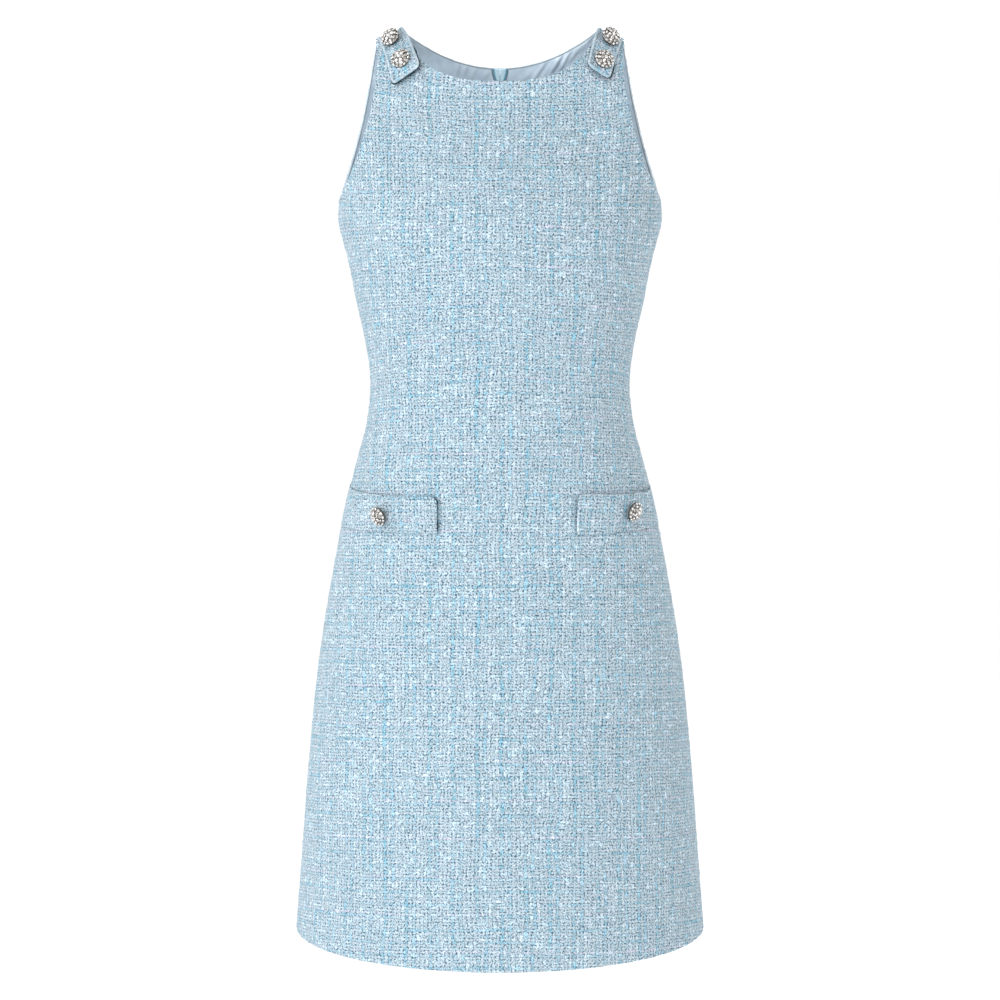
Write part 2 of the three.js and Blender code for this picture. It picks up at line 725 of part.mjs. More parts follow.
for (const welt of WELTS) {
  dress.add(named(welt.name, weltGeometry(welt), TWEED_TRIM));
  const button = named(`${welt.name}_button`, buttonGeometry(), CRYSTAL_METAL);
  const angle = Math.asin(welt.buttonX / read(LEVELS, 'half', WELT.top));
  const face = (across, along) => {
    const x = welt.hand * (welt.buttonX + across * Math.cos(angle));
    const down = (WELT_BUTTON_DOWN - along) / welt.innerDeep;
    return outerFace({ ...frontPoint(x, WELT.top - WELT_BUTTON_DOWN + along), down }, weltLift);
  };
  dress.add(seatButton(button, face, new THREE.Vector3(0, -1, 0)));
}

dress.add(zipHardware());

export default dress;
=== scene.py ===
"""Sleeveless A-line mini dress in light blue tweed: the looks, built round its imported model.

The frame is the model's own: +Z up, the front faces -Y, and +X is the wearer's left. The form is
worked out in millimetres and turned to metres as each mesh is made.
"""

import math
from functools import partial

import bpy
import numpy as np
from mathutils import Matrix, Vector


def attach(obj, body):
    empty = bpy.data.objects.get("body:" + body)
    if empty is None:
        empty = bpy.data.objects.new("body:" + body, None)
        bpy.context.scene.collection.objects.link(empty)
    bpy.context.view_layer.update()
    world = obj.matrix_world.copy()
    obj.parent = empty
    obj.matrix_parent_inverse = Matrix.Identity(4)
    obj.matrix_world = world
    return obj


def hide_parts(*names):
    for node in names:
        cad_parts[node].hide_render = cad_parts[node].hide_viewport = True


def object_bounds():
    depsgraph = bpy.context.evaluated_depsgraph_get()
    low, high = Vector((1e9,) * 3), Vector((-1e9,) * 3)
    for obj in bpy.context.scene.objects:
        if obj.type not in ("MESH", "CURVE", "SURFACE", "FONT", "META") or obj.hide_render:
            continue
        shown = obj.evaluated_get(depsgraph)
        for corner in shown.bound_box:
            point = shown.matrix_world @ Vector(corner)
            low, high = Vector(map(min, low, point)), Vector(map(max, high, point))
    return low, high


bl_info = {
    "name": "Tweed Mini Dress",
    "version": (1, 0, 0),
    "blender": (4, 5, 0),
    "location": "3D View > Sidebar > Dress",
    "description": "Builds a tweed mini dress with shoulder tabs, pocket welts and crystal buttons",
    "category": "Add Mesh",
}

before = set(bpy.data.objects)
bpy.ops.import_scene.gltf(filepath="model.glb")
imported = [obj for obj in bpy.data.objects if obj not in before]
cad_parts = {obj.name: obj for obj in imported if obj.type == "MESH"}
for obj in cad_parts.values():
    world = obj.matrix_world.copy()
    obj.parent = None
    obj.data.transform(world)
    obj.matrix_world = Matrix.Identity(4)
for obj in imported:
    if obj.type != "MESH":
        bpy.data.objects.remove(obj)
cad_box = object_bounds()

MM = 0.001
DRESS_BODY = "dress"

LEFT, RIGHT = 1, -1
FRONT, BACK = -1, 1
SIDE_WORDS = {FRONT: "front", BACK: "back"}

# ---------------------------------------------------------------- the cut of the dress


def named_columns(names, *rows):
    """A short table as one array for each named column."""
    return dict(zip(names, np.array(rows, float).T))


def ovals(*rows):
    """Oval swellings: place, half width, half length, lean in degrees (top to +X) and depth."""
    return [dict(zip(("x", "z", "across", "along", "lean", "depth"), row)) for row in rows]


HEM_Z = -862
UNDERARM_Z = -158
SEAM_GAP = 0.3
HALF_SEAM = SEAM_GAP / 2
HANDS = {"left": LEFT, "right": RIGHT}

SHOULDER = {"neck_x": 91, "tip_x": 115.3, "slope": 0.43, "roll_drop": 58}

# A neckline falls from the neck points to its centre as drop * (1 - (x / neck_x) ** power) ** flat.
NECKLINE = {
    FRONT: {"drop": 47.4, "power": 3, "flat": 0.77},
    BACK: {"drop": 34.2, "power": 2.05, "flat": 1},
}

# Levels of the form: half width, depth in front of and behind the shoulder line, and how far the
# section bulges past an ellipse towards its corners.
LEVELS = named_columns(
    ("z", "half", "front", "back", "square"),
    (0, 144, 42, 44, 0.04),
    (-30, 147, 49, 57, 0.05),
    (-60, 149.5, 58, 72, 0.06),
    (-95, 152, 77, 88, 0.08),
    (-130, 153, 97, 96, 0.1),
    (-158, 151, 110.5, 99, 0.11),
    (-177, 151.8, 116.5, 99.5, 0.12),
    (-195, 147.7, 119.5, 98.5, 0.12),
    (-214, 142.7, 119, 96.5, 0.12),
    (-252, 135.5, 110.5, 91.5, 0.1),
    (-290, 127.3, 100, 88, 0.09),
    (-328, 122.8, 94, 88, 0.08),
    (-366, 126.4, 95, 93, 0.07),
    (-404, 136.2, 99, 102, 0.06),
    (-443, 146.5, 105, 111, 0.05),
    (-501, 158, 114, 121, 0.04),
    (-560, 168.6, 121, 126, 0.03),
    (-618, 176.8, 127, 129, 0.02),
    (-697, 184.9, 134, 133, 0.01),
    (-777, 191.5, 140, 138, 0),
    (HEM_Z, 198.6, 147.5, 143, 0),
)

# Distance of the armhole edges from the centre line. The back is cut wider than the front.
ARMHOLE = named_columns(
    ("z", "front", "back"),
    (-8, 115.3, 115.3),
    (-28, 113.4, 119.5),
    (-65, 117.8, 127.3),
    (-93, 124.3, 134),
    (-124, 134.9, 142.4),
    (-142, 142.6, 147.4),
    (UNDERARM_Z, 151, 151),
)

# Creases of the panels, which fall in where the depth is positive and stand out where it isn't.
# The upright ones are the soft troughs where the cloth eases round the armholes and into the back
# waist.
FOLDS = {
    FRONT: ovals(
        (-93, -112, 24, 62, 0, 2.6),
        (88, -118, 25, 68, 0, 2.8),
        (-108, -118, 10, 46, -12, -0.8),
        (104, -126, 10, 50, 12, -0.9),
        (-62, -150, 20, 70, -6, 0.7),
        (60, -160, 18, 64, 5, 0.6),
        (-118, -262, 13, 62, 24, 1.3),
        (-98, -300, 14, 58, 38, 0.9),
        (116, -268, 14, 66, -24, 1.4),
        (94, -312, 14, 60, -40, 0.9),
        (-40, -330, 22, 90, 3, 0.7),
        (46, -350, 22, 84, -4, 0.6),
        (-96, -640, 26, 190, -3, 1.5),
        (-34, -700, 24, 150, 2, -1.1),
        (42, -690, 26, 170, -2, 1.2),
        (118, -650, 26, 200, 4, 1.7),
        (152, -740, 20, 120, 5, -1.2),
    ),
    BACK: ovals(
        (-88, -122, 28, 62, 0, 2.4),
        (93, -116, 26, 58, 0, 2.6),
        (-47, -352, 30, 74, 0, 2.4),
        (52, -345, 28, 66, 0, 2.6),
        (-112, -126, 11, 44, -14, -0.8),
        (110, -130, 11, 48, 14, -0.8),
        (-36, -170, 18, 74, -4, 0.8),
        (44, -160, 18, 66, 5, 0.7),
        (-104, -290, 15, 60, 30, 1.3),
        (108, -296, 15, 64, -28, 1.4),
        (-92, -640, 28, 190, -3, 1.7),
        (30, -680, 26, 170, 2, -1.2),
        (106, -650, 28, 200, 4, 1.8),
    ),
}

# How far the crosswise yarns sink at the side seams, where darts and the flare take up cloth. They
# hardly sink near the centre line: by the share of the way out, to the power of YARN_DROOP_POWER.
YARN_DROOP = named_columns(
    ("z", "sink"),
    (-60, 0), (-150, 5), (-210, 12), (-270, 14), (-340, 10), (-420, 6), (-520, 8), (-700, 14),
    (HEM_Z, 17),
)
YARN_DROOP_POWER = 1.3

# The zip tapes splay at the top, where the zip ends under the neck edge. `tape_wide` is a round
# size, for spacing their columns. A tooth reaches over the middle by `tooth_over`, and its
# axis lies `tooth_off` of its radius off the tape.
ZIP = {
    "tape_top": 7.2, "tape_half": 3.6, "tape_wide": 7, "taper_top": -36, "taper_bottom": -52,
    "tape_bottom": -349.3, "selvedge": (1.4, 2.4), "teeth_top": -54, "teeth_bottom": -344,
    "tooth_pitch": 1.5, "tooth_reach": 1.9, "tooth_over": 0.3, "tooth_radius": 0.42,
    "tooth_off": 0.8,
}
# The slider's and pull tab's edges: `weld` and `round` in millimetres, `sharp` in degrees.
METAL_EDGE = {"weld": 0.001, "round": 0.28, "segments": 3, "sharp": 35}

LINING_BOTTOM = -169.6
# Puckers of the lining where the neck edge was stretched in sewing, and soft upright ones beside
# the armholes.
PUCKERS = ovals(
    (-76, -14, 4, 20, -30, 1.0),
    (-63, -24, 5, 20, -24, 0.8),
    (-41, -34, 2.6, 17, 14, 1.0),
    (-34, -36, 2.4, 15, 20, 0.9),
    (-26, -38, 3, 15, 28, 0.9),
    (-16, -42, 4, 14, 40, 0.9),
    (24, -42, 5, 18, 52, 1.2),
    (36, -38, 3.2, 19, 36, 1.8),
    (46, -34, 3, 18, 32, 2.2),
    (53.5, -29, 3.4, 20, 32, 3.6),
    (63, -24, 3.4, 20, 30, 4.4),
    (72.5, -17, 3.4, 20, 34, 3.8),
    (82, -9, 3.4, 16, 36, 2.6),
    (112, -60, 6, 44, 8, 1.4),
    (-113, -66, 6, 48, -8, 1.4),
    (126, -105, 6, 30, 14, 1.1),
    (-127, -110, 6, 30, -14, 1.1),
)
# Beside an edge, for `held` millimetres, a pucker keeps only its share `at_edge`. It may sink by
# `sink`. Painted shade darkens the pressed edge from `edge` inward, a flank as much as `flank`
# once it slopes by `steep`, and the cloth beside the shoulders as much as `beside`, fading over
# `beside_reach`.
LINING = {
    "held": 3, "at_edge": 0.35, "sink": -0.15, "edge": (0.3, 1.2), "flank": 0.55, "steep": 0.7,
    "beside": 0.34, "beside_reach": (20, 42),
}

# A tab's far end runs on towards the armhole by `slant` and widens by `flare` on that side. It
# stands off by `lift`, and by `curl` more on the side next to the neck. Its dark facing shows past
# its edges as a painted shadow line, from `line_from` over a run of `line_fade`: by `neck_side`,
# by `arm_side` and, at its end, by `end`. Its edges are pressed flat, fading over `pressed`. It is
# cut from the cloth at `grain`. Its middle line is traced in steps of `trace`, for `spare` more
# than its length.
TAB = {
    "width": 24, "corner": 4.2, "lift_from": 30, "line_from": 34, "line_fade": 9,
    "line_uneven": 0.3, "pressed": (1.2, 2.6), "grain": (340, -215), "spare": 4, "trace": 0.5,
}
TABS = {
    "shoulder_tab_right": {
        "hand": RIGHT, "length": 62, "lean": 0.32, "lift": 2.8, "curl": 2.0, "slant": 5.6,
        "flare": 3.8, "neck_side": 1.0, "arm_side": 0.1, "end": 1.4,
    },
    "shoulder_tab_left": {
        "hand": LEFT, "length": 56.5, "lean": 0.22, "lift": 3.0, "curl": -0.4, "slant": 4.8,
        "flare": -3, "neck_side": 0.1, "arm_side": 1.2, "end": 0.5,
    },
}

# A welt's top edge rises by `rise` at its inner end and sags by `sag` between its ends. Its inner
# end stands off by `end_lift`, fading over `end_reach`. It sinks by `seam_sink` towards the side
# seam, from `seam_taper` away to `seam_flat` away. Its dark facing shows as a painted shadow line
# past its inner end by `end_line`, and past its top by `top_line` beyond `line_from`, over the
# share `line_fade`. Where it sinks, its face stays `thinnest` over its bed. `long` and `deep` are
# round sizes, for spacing its columns and rows, and it is cut from the cloth at `grain`.
WELT = {
    "top": -427, "long": 100, "deep": 34, "corner": 6, "lift": 1.2, "lift_power": 1.5,
    "end_reach": 22, "seam_reach": 1.6, "seam_flat": 9, "seam_taper": 34,
    "seam_sink": 2.3, "line_fade": 0.4, "thinnest": 0.2, "facing_under": 0.1,
    "grain": (171.3, 96.4),
}
WELTS = {
    "pocket_welt_right": {
        "hand": RIGHT, "inner": 57, "inner_deep": 32, "outer_deep": 38.5, "top_lift": 0.8,
        "end_lift": 1.8, "rise": 1.3, "sag": 1.5, "end_line": 1.0, "top_line": 0.45,
        "line_from": 0,
    },
    "pocket_welt_left": {
        "hand": LEFT, "inner": 70, "inner_deep": 34, "outer_deep": 36.5, "top_lift": 2.2,
        "end_lift": 0.2, "rise": 3.2, "sag": 2.4, "end_line": 0.1, "top_line": 0.8,
        "line_from": 0.25,
    },
}
# A welt's dark facing, a painted shadow line, shows unevenly: by the share `mean`, give or take
# `swing`, and `most` at most.
RAGGED = {"mean": 0.6, "swing": 0.9, "most": 1.7}

TRIM_GAP = 0.4
# A turned edge is thick with its own seam allowance, and sinks again inside it.
TRIM_EDGE = {"ridge": 0.65, "ridge_at": 1.7, "groove": 0.55, "groove_at": 4.3, "width": 1.1}

# Columns and rows of the meshes.
PANEL_STEPS = {"to_neck": 40, "to_side": 22, "above": 84, "below": 196}
LINING_STEPS = {"to_neck": 60, "to_side": 30, "above": 80, "below": 6}
TAPE_STEPS = {"across": 10, "above": 60, "below": 90}
TAB_STEPS = {"across": 26, "along": 64}
WELT_STEPS = {"along": 100, "down": 34}
# Distances from an edge of the further rows that carry its round.
EDGE_STEPS = np.array([0.12, 0.4, 0.9, 1.7, 2.9])
# About how far a half panel runs round the body.
HALF_GIRTH = 185

# Passes that settle a panel's top edge and a tab's middle line, and the step for reading slopes.
TOP_PASSES = 40
TRACE_PASSES = 3
PROBE = 0.4
ALMOST_NOTHING = 1e-12
CLOSE = 1e-9

# Where each operator's random draws start.
SEEDS = {"panels": 11, "tabs": 23, "welts": 37, "buttons": 100}


def smoothstep(low, high, value):
    """Rises smoothly from 0 at low to 1 at high."""
    t = np.clip((value - low) / (high - low), 0, 1)
    return t * t * (3 - 2 * t)


def unit(vectors):
    """Vectors of length 1."""
    lengths = np.linalg.norm(vectors, axis=-1, keepdims=True)
    return vectors / np.maximum(lengths, ALMOST_NOTHING)


def read(table, column, z):
    """Reads a table of falling z by smooth curves through its rows."""
    levels, values = table["z"], table[column]
    z = np.asarray(z, float)
    row = np.clip(np.searchsorted(-levels, -z, side="left") - 1, 0, len(levels) - 2)
    secants = np.diff(values) / np.diff(levels)
    slopes = np.concatenate([secants[:1], (secants[:-1] + secants[1:]) / 2, secants[-1:]])
    span = levels[row + 1] - levels[row]
    t = np.clip((z - levels[row]) / span, 0, 1)
    rise = smoothstep(0, 1, t)
    leave, arrive = t * (1 - t) ** 2, t * t * (t - 1)
    curve = span * (leave * slopes[row] + arrive * slopes[row + 1])
    return values[row] * (1 - rise) + values[row + 1] * rise + curve


def ridge_z(x):
    """Height of the shoulder seam."""
    return -SHOULDER["slope"] * (np.abs(x) - SHOULDER["neck_x"])


def swell(rows, x, z):
    """Depth of a set of ovals, each fading to nothing at its rim."""
    depth = np.zeros(np.broadcast(x, z).shape)
    for row in rows:
        lean = math.radians(row["lean"])
        dx, dz = x - row["x"], z - row["z"]
        across = (dx * math.cos(lean) - dz * math.sin(lean)) / row["across"]
        along = (dx * math.sin(lean) + dz * math.cos(lean)) / row["along"]
        depth += row["depth"] * np.clip(1 - across**2 - along**2, 0, None) ** 2
    return depth


def roll(drop):
    """How far the cloth has rolled over the shoulder: 0 on the ridge, 1 past it."""
    t = np.clip(drop / SHOULDER["roll_drop"], 0, 1)
    return np.sqrt(1 - (1 - t) ** 2)


def surface_y(side, x, z):
    """Depth of the form: an ellipse with fuller corners, rolled at the shoulder, and creased."""
    across = np.minimum(1, np.abs(x) / read(LEVELS, "half", z))
    full = 1 + read(LEVELS, "square", z) * across**2
    section = read(LEVELS, SIDE_WORDS[side], z) * full * np.sqrt(1 - across**2)
    return side * (section * roll(ridge_z(x) - z) - swell(FOLDS[side], x, z))


def top_z(side, x):
    """Height of a panel's top edge: the neckline, then the shoulder seam."""
    neck = NECKLINE[side]
    across = np.minimum(1, np.abs(x) / SHOULDER["neck_x"])
    neckline = -neck["drop"] * (1 - across ** neck["power"]) ** neck["flat"]
    return np.where(np.abs(x) < SHOULDER["neck_x"], neckline, ridge_z(x))


def edge_angle(side, z):
    """Angle round the section at which a panel ends: the side seam, or the armhole above it."""
    edge = read(ARMHOLE, SIDE_WORDS[side], z)
    armhole = np.arcsin(np.minimum(1, edge / read(LEVELS, "half", z)))
    return np.where(z <= UNDERARM_Z, math.pi / 2, armhole)


def zip_x(z):
    """Half width that the two zip tapes cover."""
    splay = smoothstep(ZIP["taper_bottom"], ZIP["taper_top"], z)
    return ZIP["tape_half"] + (ZIP["tape_top"] - ZIP["tape_half"]) * splay


def form_normals(side, x, z):
    """Outward directions of the form, from its slopes round the section and up it."""
    half = read(LEVELS, "half", z)
    angle = np.arcsin(np.clip(x / half, -1, 1))

    def at(turn, rise):
        level = z + rise
        px = read(LEVELS, "half", level) * np.sin(angle + turn)
        return np.stack([px, surface_y(side, px, level), level], -1)

    turn = PROBE / half
    room = math.pi / 2 - np.abs(angle)
    ahead = np.minimum(turn, np.where(angle > 0, room, turn))
    behind = np.minimum(turn, np.where(angle < 0, room, turn))
    across = at(ahead, 0) - at(-behind, 0)
    up = at(0, PROBE) - at(0, -PROBE)
    normals = np.cross(across, up)
    normals *= np.where(normals[..., 1:2] * side < 0, -1, 1)
    return unit(normals)


class GrainMap:
    """How far each place of the front or back lies from the centre line and from the underarm.

    Both are measured along the smooth form, as the yarns run: one up the cloth and one across.
    """

    TOP, BELOW_HEM, STEP, TURNS = 2.0, 4, 1.0, 90
    ROW_SLACK, COLUMN_SLACK = 0.001, 1e-6

    def __init__(self, side):
        z = np.arange(self.TOP, HEM_Z - self.BELOW_HEM, -self.STEP)[:, None]
        turn = np.linspace(0, math.pi / 2, self.TURNS + 1)
        across = np.sin(turn)
        depth = read(LEVELS, SIDE_WORDS[side], z)
        x = read(LEVELS, "half", z) * across
        unrolled = depth * (1 + read(LEVELS, "square", z) * across**2) * np.cos(turn)
        y = unrolled * roll(ridge_z(x) - z)
        run = np.hypot(np.diff(x, axis=1), np.diff(unrolled, axis=1))
        self.u = np.concatenate([np.zeros_like(z), np.cumsum(run, axis=1)], axis=1)
        slant = np.diff(x, axis=0) ** 2 + np.diff(y, axis=0) ** 2 + self.STEP**2
        fall = np.sqrt(np.maximum(slant - np.diff(self.u, axis=0) ** 2, 0))
        fallen = np.concatenate([np.zeros((1, self.TURNS + 1)), np.cumsum(fall, axis=0)])
        self.v = fallen[int(round(self.TOP - UNDERARM_Z))] - fallen

    def read(self, x, z):
        """Signed distance across and distance up, with the yarns' sinking towards the sides."""
        share = np.arcsin(np.clip(np.abs(x) / read(LEVELS, "half", z), 0, 1)) / (math.pi / 2)
        row = np.clip((self.TOP - z) / self.STEP, 0, len(self.u) - 1 - self.ROW_SLACK)
        column = np.clip(share * self.TURNS, 0, self.TURNS - self.COLUMN_SLACK)
        i, j = row.astype(int), column.astype(int)
        s, t = row - i, column - j
        u, v = (
            (table[i, j] * (1 - s) + table[i + 1, j] * s) * (1 - t)
            + (table[i, j + 1] * (1 - s) + table[i + 1, j + 1] * s) * t
            for table in (self.u, self.v)
        )
        return np.stack([np.sign(x) * u, v + read(YARN_DROOP, "sink", z) * share**YARN_DROOP_POWER], -1)


GRAIN = {side: GrainMap(side) for side in (FRONT, BACK)}


# ---------------------------------------------------------------- grids of cloth


class Grid:
    """Rows of points from a top edge down, with outward normals and a place on the cloth's grain.

    `free` and `sewn` give each point's distance to the nearest turned edge and nearest seam.
    """

    def __init__(self, at, normal, grain, free, sewn):
        self.at, self.normal, self.grain, self.free, self.sewn = at, normal, grain, free, sewn

    def cut_size(self):
        """Width, length and area of the flat cut, in metres, measured along the cloth."""
        across = np.linalg.norm(np.diff(self.at, axis=1), axis=-1).sum(1).max()
        down = np.linalg.norm(np.diff(self.at, axis=0), axis=-1).sum(0).max()
        a = self.at[1:, 1:] - self.at[:-1, :-1]
        b = self.at[1:, :-1] - self.at[:-1, 1:]
        area = np.linalg.norm(np.cross(a, b), axis=-1).sum() / 2
        return (across * MM, down * MM), area * MM * MM


def running(points, axis):
    """Distance run along the rows or columns of a grid from its first line of points."""
    steps = np.linalg.norm(np.diff(points, axis=axis), axis=-1)
    start = np.zeros_like(np.take(steps, [0], axis=axis))
    return np.concatenate([start, np.cumsum(steps, axis=axis)], axis=axis)


def crowded(steps, length, at_start=False, at_end=False):
    """Even shares from 0 to 1, with a few more close to an edge to carry its round."""
    shares = np.linspace(0, 1, steps + 1)
    near = EDGE_STEPS / length
    extra = [near] * at_start + [1 - near] * at_end
    return np.unique(np.concatenate([shares, *extra]))


def neck_share(side, from_x):
    """Share of the way out at which the neck point lies."""
    half = read(LEVELS, "half", 0)
    first = np.arcsin(from_x(0) / half)
    return float((np.arcsin(SHOULDER["neck_x"] / half) - first) / (edge_angle(side, 0) - first))


def panel_shares(side, from_x, steps):
    """Shares of a half panel's columns. One lies on the neck point."""
    neck = neck_share(side, from_x)
    inner = neck * crowded(steps["to_neck"], HALF_GIRTH * neck, at_start=side == BACK)
    outer = neck + (1 - neck) * crowded(steps["to_side"], HALF_GIRTH * (1 - neck), at_end=True)
    return np.concatenate([inner, outer[1:]])


def section_grid(side, hands, shares, steps, from_x, to_angle=None, bottom=HEM_Z):
    """Part of the front or back between an inner edge and an outer one.

    hands and shares give each column's hand and how far it lies from the inner edge to the outer.
    A part that ends at its own angle, and not at the side and armhole, has no shoulder.
    """
    to_shoulder = to_angle is None
    outer = to_angle or (lambda z: edge_angle(side, z))

    def x_at(z):
        half = read(LEVELS, "half", z)
        first = np.arcsin(from_x(z) / half)
        return half * np.sin(first + (outer(z) - first) * shares)

    tip_z = ridge_z(SHOULDER["tip_x"])
    top = np.full(len(shares), tip_z)
    for _ in range(TOP_PASSES):
        top = top_z(side, x_at(top))
    if to_shoulder:
        top[shares == 1] = tip_z
        top[np.isclose(shares, neck_share(side, from_x))] = 0
    drop = 1 - np.cos(np.pi / 2 * np.linspace(0, 1, steps["above"] + 1))
    upper = top + (UNDERARM_Z - top) * drop[:, None]
    fall = crowded(steps["below"], UNDERARM_Z - bottom, at_end=True)[1:]
    lower = UNDERARM_Z + (bottom - UNDERARM_Z) * fall[:, None] * np.ones(len(shares))
    z = np.vstack([upper, lower])
    x = hands * x_at(z)
    at = np.stack([x, surface_y(side, x, z), z], -1)
    normal = form_normals(side, x, z)

    # Edges that meet another panel end half a seam from it, and their walls stand square to it.
    underarm = steps["above"]
    on_top = np.zeros(z.shape, bool)
    on_side = np.zeros(z.shape, bool)
    if to_shoulder:
        on_top[0] = shares >= neck_share(side, from_x) - CLOSE
        on_side[underarm:] = shares == 1
    seam = on_top | on_side
    at[seam, 1] = side * HALF_SEAM
    normal[seam, 1] = 0
    if side == BACK:
        normal[:, shares == 0, 0] = 0
    normal = unit(normal)

    down, across = running(at, 0), running(at, 1)
    from_outer = across[:, -1:] - across
    if hands[0] != hands[-1]:
        from_outer = np.where(hands == RIGHT, across, from_outer)
    armhole, side_seam = np.full((2, *z.shape), np.inf)
    if to_shoulder:
        armhole[: underarm + 1] = from_outer[: underarm + 1]
        side_seam[underarm:] = from_outer[underarm:]
    neckline = np.where(on_top[0], np.inf, down)
    free = np.minimum(np.minimum(neckline, armhole), down[-1:] - down)
    sewn = np.minimum(side_seam, np.where(on_top[0], down, np.inf))
    if side == BACK:
        sewn = np.minimum(sewn, across)
    return Grid(at, normal, GRAIN[side].read(x, z), free, sewn)


def turned_edge(distance, radius):
    """How far a face falls back towards the middle of the wall near a turned edge."""
    t = np.clip(1 - distance / radius, 0, 1)
    return radius * (1 - np.sqrt(1 - t**2))


SEAM_ROLL = {"depth": 1.05, "width": 2.1, "end": 10}


def seam_roll(distance):
    """How far a face rolls in beside a seam."""
    widths = np.minimum(distance, SEAM_ROLL["end"] * SEAM_ROLL["width"]) / SEAM_ROLL["width"]
    return SEAM_ROLL["depth"] * np.exp(-(widths**2))


# The lattice of random heights repeats after all but its last row and column.
LATTICE = (257, 263)
LATTICE_START = 600


def lumps(place, spacing, rng):
    """Smooth random heights over the cloth, about 1 either way, a given distance apart."""
    lattice = rng.normal(0, 1, LATTICE)
    u, v = place[..., 0] / spacing + LATTICE_START, place[..., 1] / spacing + LATTICE_START
    i, j = np.floor(u).astype(int), np.floor(v).astype(int)
    s, t = smoothstep(0, 1, u - i), smoothstep(0, 1, v - j)
    rows, columns = LATTICE[0] - 1, LATTICE[1] - 1
    i, next_i, j, next_j = i % rows, (i + 1) % rows, j % columns, (j + 1) % columns
    low = lattice[i, j] * (1 - s) + lattice[next_i, j] * s
    high = lattice[i, next_j] * (1 - s) + lattice[next_i, next_j] * s
    return low * (1 - t) + high * t


KNOTS = {"spacing": 3.1, "height": 0.2, "edge": 0.22, "trim_edge": 0.08, "edge_depth": 2.4}


def knotted(grid, rng, edge=KNOTS["edge"]):
    """Lifts a grid's outer points by the yarns' loops, and lets its free edges run unevenly."""
    lift = KNOTS["height"] * lumps(grid.grain, KNOTS["spacing"], rng)
    near = np.clip(1 - grid.free / KNOTS["edge_depth"], 0, 1)
    points = grid.at + grid.normal * lift[..., None]
    for axis in (0, 1):
        along = unit(np.gradient(grid.at, axis=axis))
        push = edge * near * lumps(grid.grain, KNOTS["spacing"], rng)
        points += along * push[..., None]
    return points


ROUNDNESS = 0.95


def wall(grid, outer, inner, thickness=None, points=None):
    """Outer and inner faces of a cloth wall, rounded at turned edges and rolled in at seams."""
    outer = np.broadcast_to(outer, grid.free.shape)
    inner = np.broadcast_to(inner, grid.free.shape)
    radius = (thickness or np.min(outer - inner)) / 2 * ROUNDNESS
    back = turned_edge(grid.free, radius)
    base = grid.at if points is None else points
    face = base + grid.normal * (outer - back - seam_roll(grid.sewn))[..., None]
    lining = grid.at + grid.normal * (inner + back)[..., None]
    return face, lining


# ---------------------------------------------------------------- pieces


def mark(piece, name, values, domain="POINT"):
    """Stores values on a piece's points or faces, for its material."""
    layer = piece.data.attributes.new(name, "FLOAT", domain)
    layer.data.foreach_set("value", np.ravel(values).astype(np.float32))


def make_piece(name, vertices, faces, materials, smooth=True, grain=None, finish=None):
    """A mesh object from points in millimetres. finish gives each face's material number."""
    mesh = bpy.data.meshes.new(name)
    mesh.from_pydata((np.asarray(vertices) * MM).tolist(), [], [tuple(face) for face in faces])
    for material in materials:
        mesh.materials.append(material)
    mesh.polygons.foreach_set("use_smooth", [smooth] * len(mesh.polygons))
    if finish is not None:
        mesh.polygons.foreach_set("material_index", np.asarray(finish, np.int32))
    if grain is not None:
        corners = np.empty(len(mesh.loops), np.int32)
        mesh.loops.foreach_get("vertex_index", corners)
        layer = mesh.uv_layers.new(name="grain")
        layer.data.foreach_set("uv", (np.asarray(grain)[corners] * MM).astype(np.float32).ravel())
    mesh.update()
    piece = bpy.data.objects.new(name, mesh)
    bpy.context.scene.collection.objects.link(piece)
    return piece


def cloth_piece(name, grid, outer, inner, materials, lined_edges=False, **marks):
    """A closed cloth wall between two faces of a grid, with marks for its material.

    The first material goes outside and the last inside, over the edges too where they are lined.
    """
    index = np.arange(2 * grid.free.size).reshape(2, *grid.free.shape)

    def quads(a, b, c, d):
        return np.stack([a, b, c, d], -1).reshape(-1, 4)

    def strips(a, b):
        return quads(a[:-1], b[:-1], b[1:], a[1:])

    def sheet(layer):
        return quads(layer[:-1, :-1], layer[1:, :-1], layer[1:, 1:], layer[:-1, 1:])

    face, lining = sheet(index[0]), sheet(index[1])[:, ::-1]
    rims = [
        strips(index[1, 0], index[0, 0]),
        strips(index[0, -1], index[1, -1]),
        strips(index[0, :, 0], index[1, :, 0]),
        strips(index[1, :, -1], index[0, :, -1]),
    ]
    faces = np.concatenate([face, lining, *rims])
    middle = face[len(face) // 2]
    a, b, _, d = outer.reshape(-1, 3)[middle]
    if np.dot(np.cross(b - a, d - a), grid.normal.reshape(-1, 3)[middle[0]]) < 0:
        faces = faces[:, ::-1]
    finish = np.zeros(len(faces), int)
    finish[len(face) : None if lined_edges else 2 * len(face)] = len(materials) - 1
    vertices = np.concatenate([outer.reshape(-1, 3), inner.reshape(-1, 3)])
    grain = np.concatenate([grid.grain.reshape(-1, 2)] * 2)
    piece = make_piece(name, vertices, faces, materials, grain=grain, finish=finish)
    for mark_name, shares in marks.items():
        mark(piece, mark_name, [shares, shares])
    return piece


def circle(angles, radius=1, height=0):
    """Points round the Z axis."""
    heights = np.full(np.shape(angles), height)
    return np.stack([radius * np.cos(angles), radius * np.sin(angles), heights], -1)


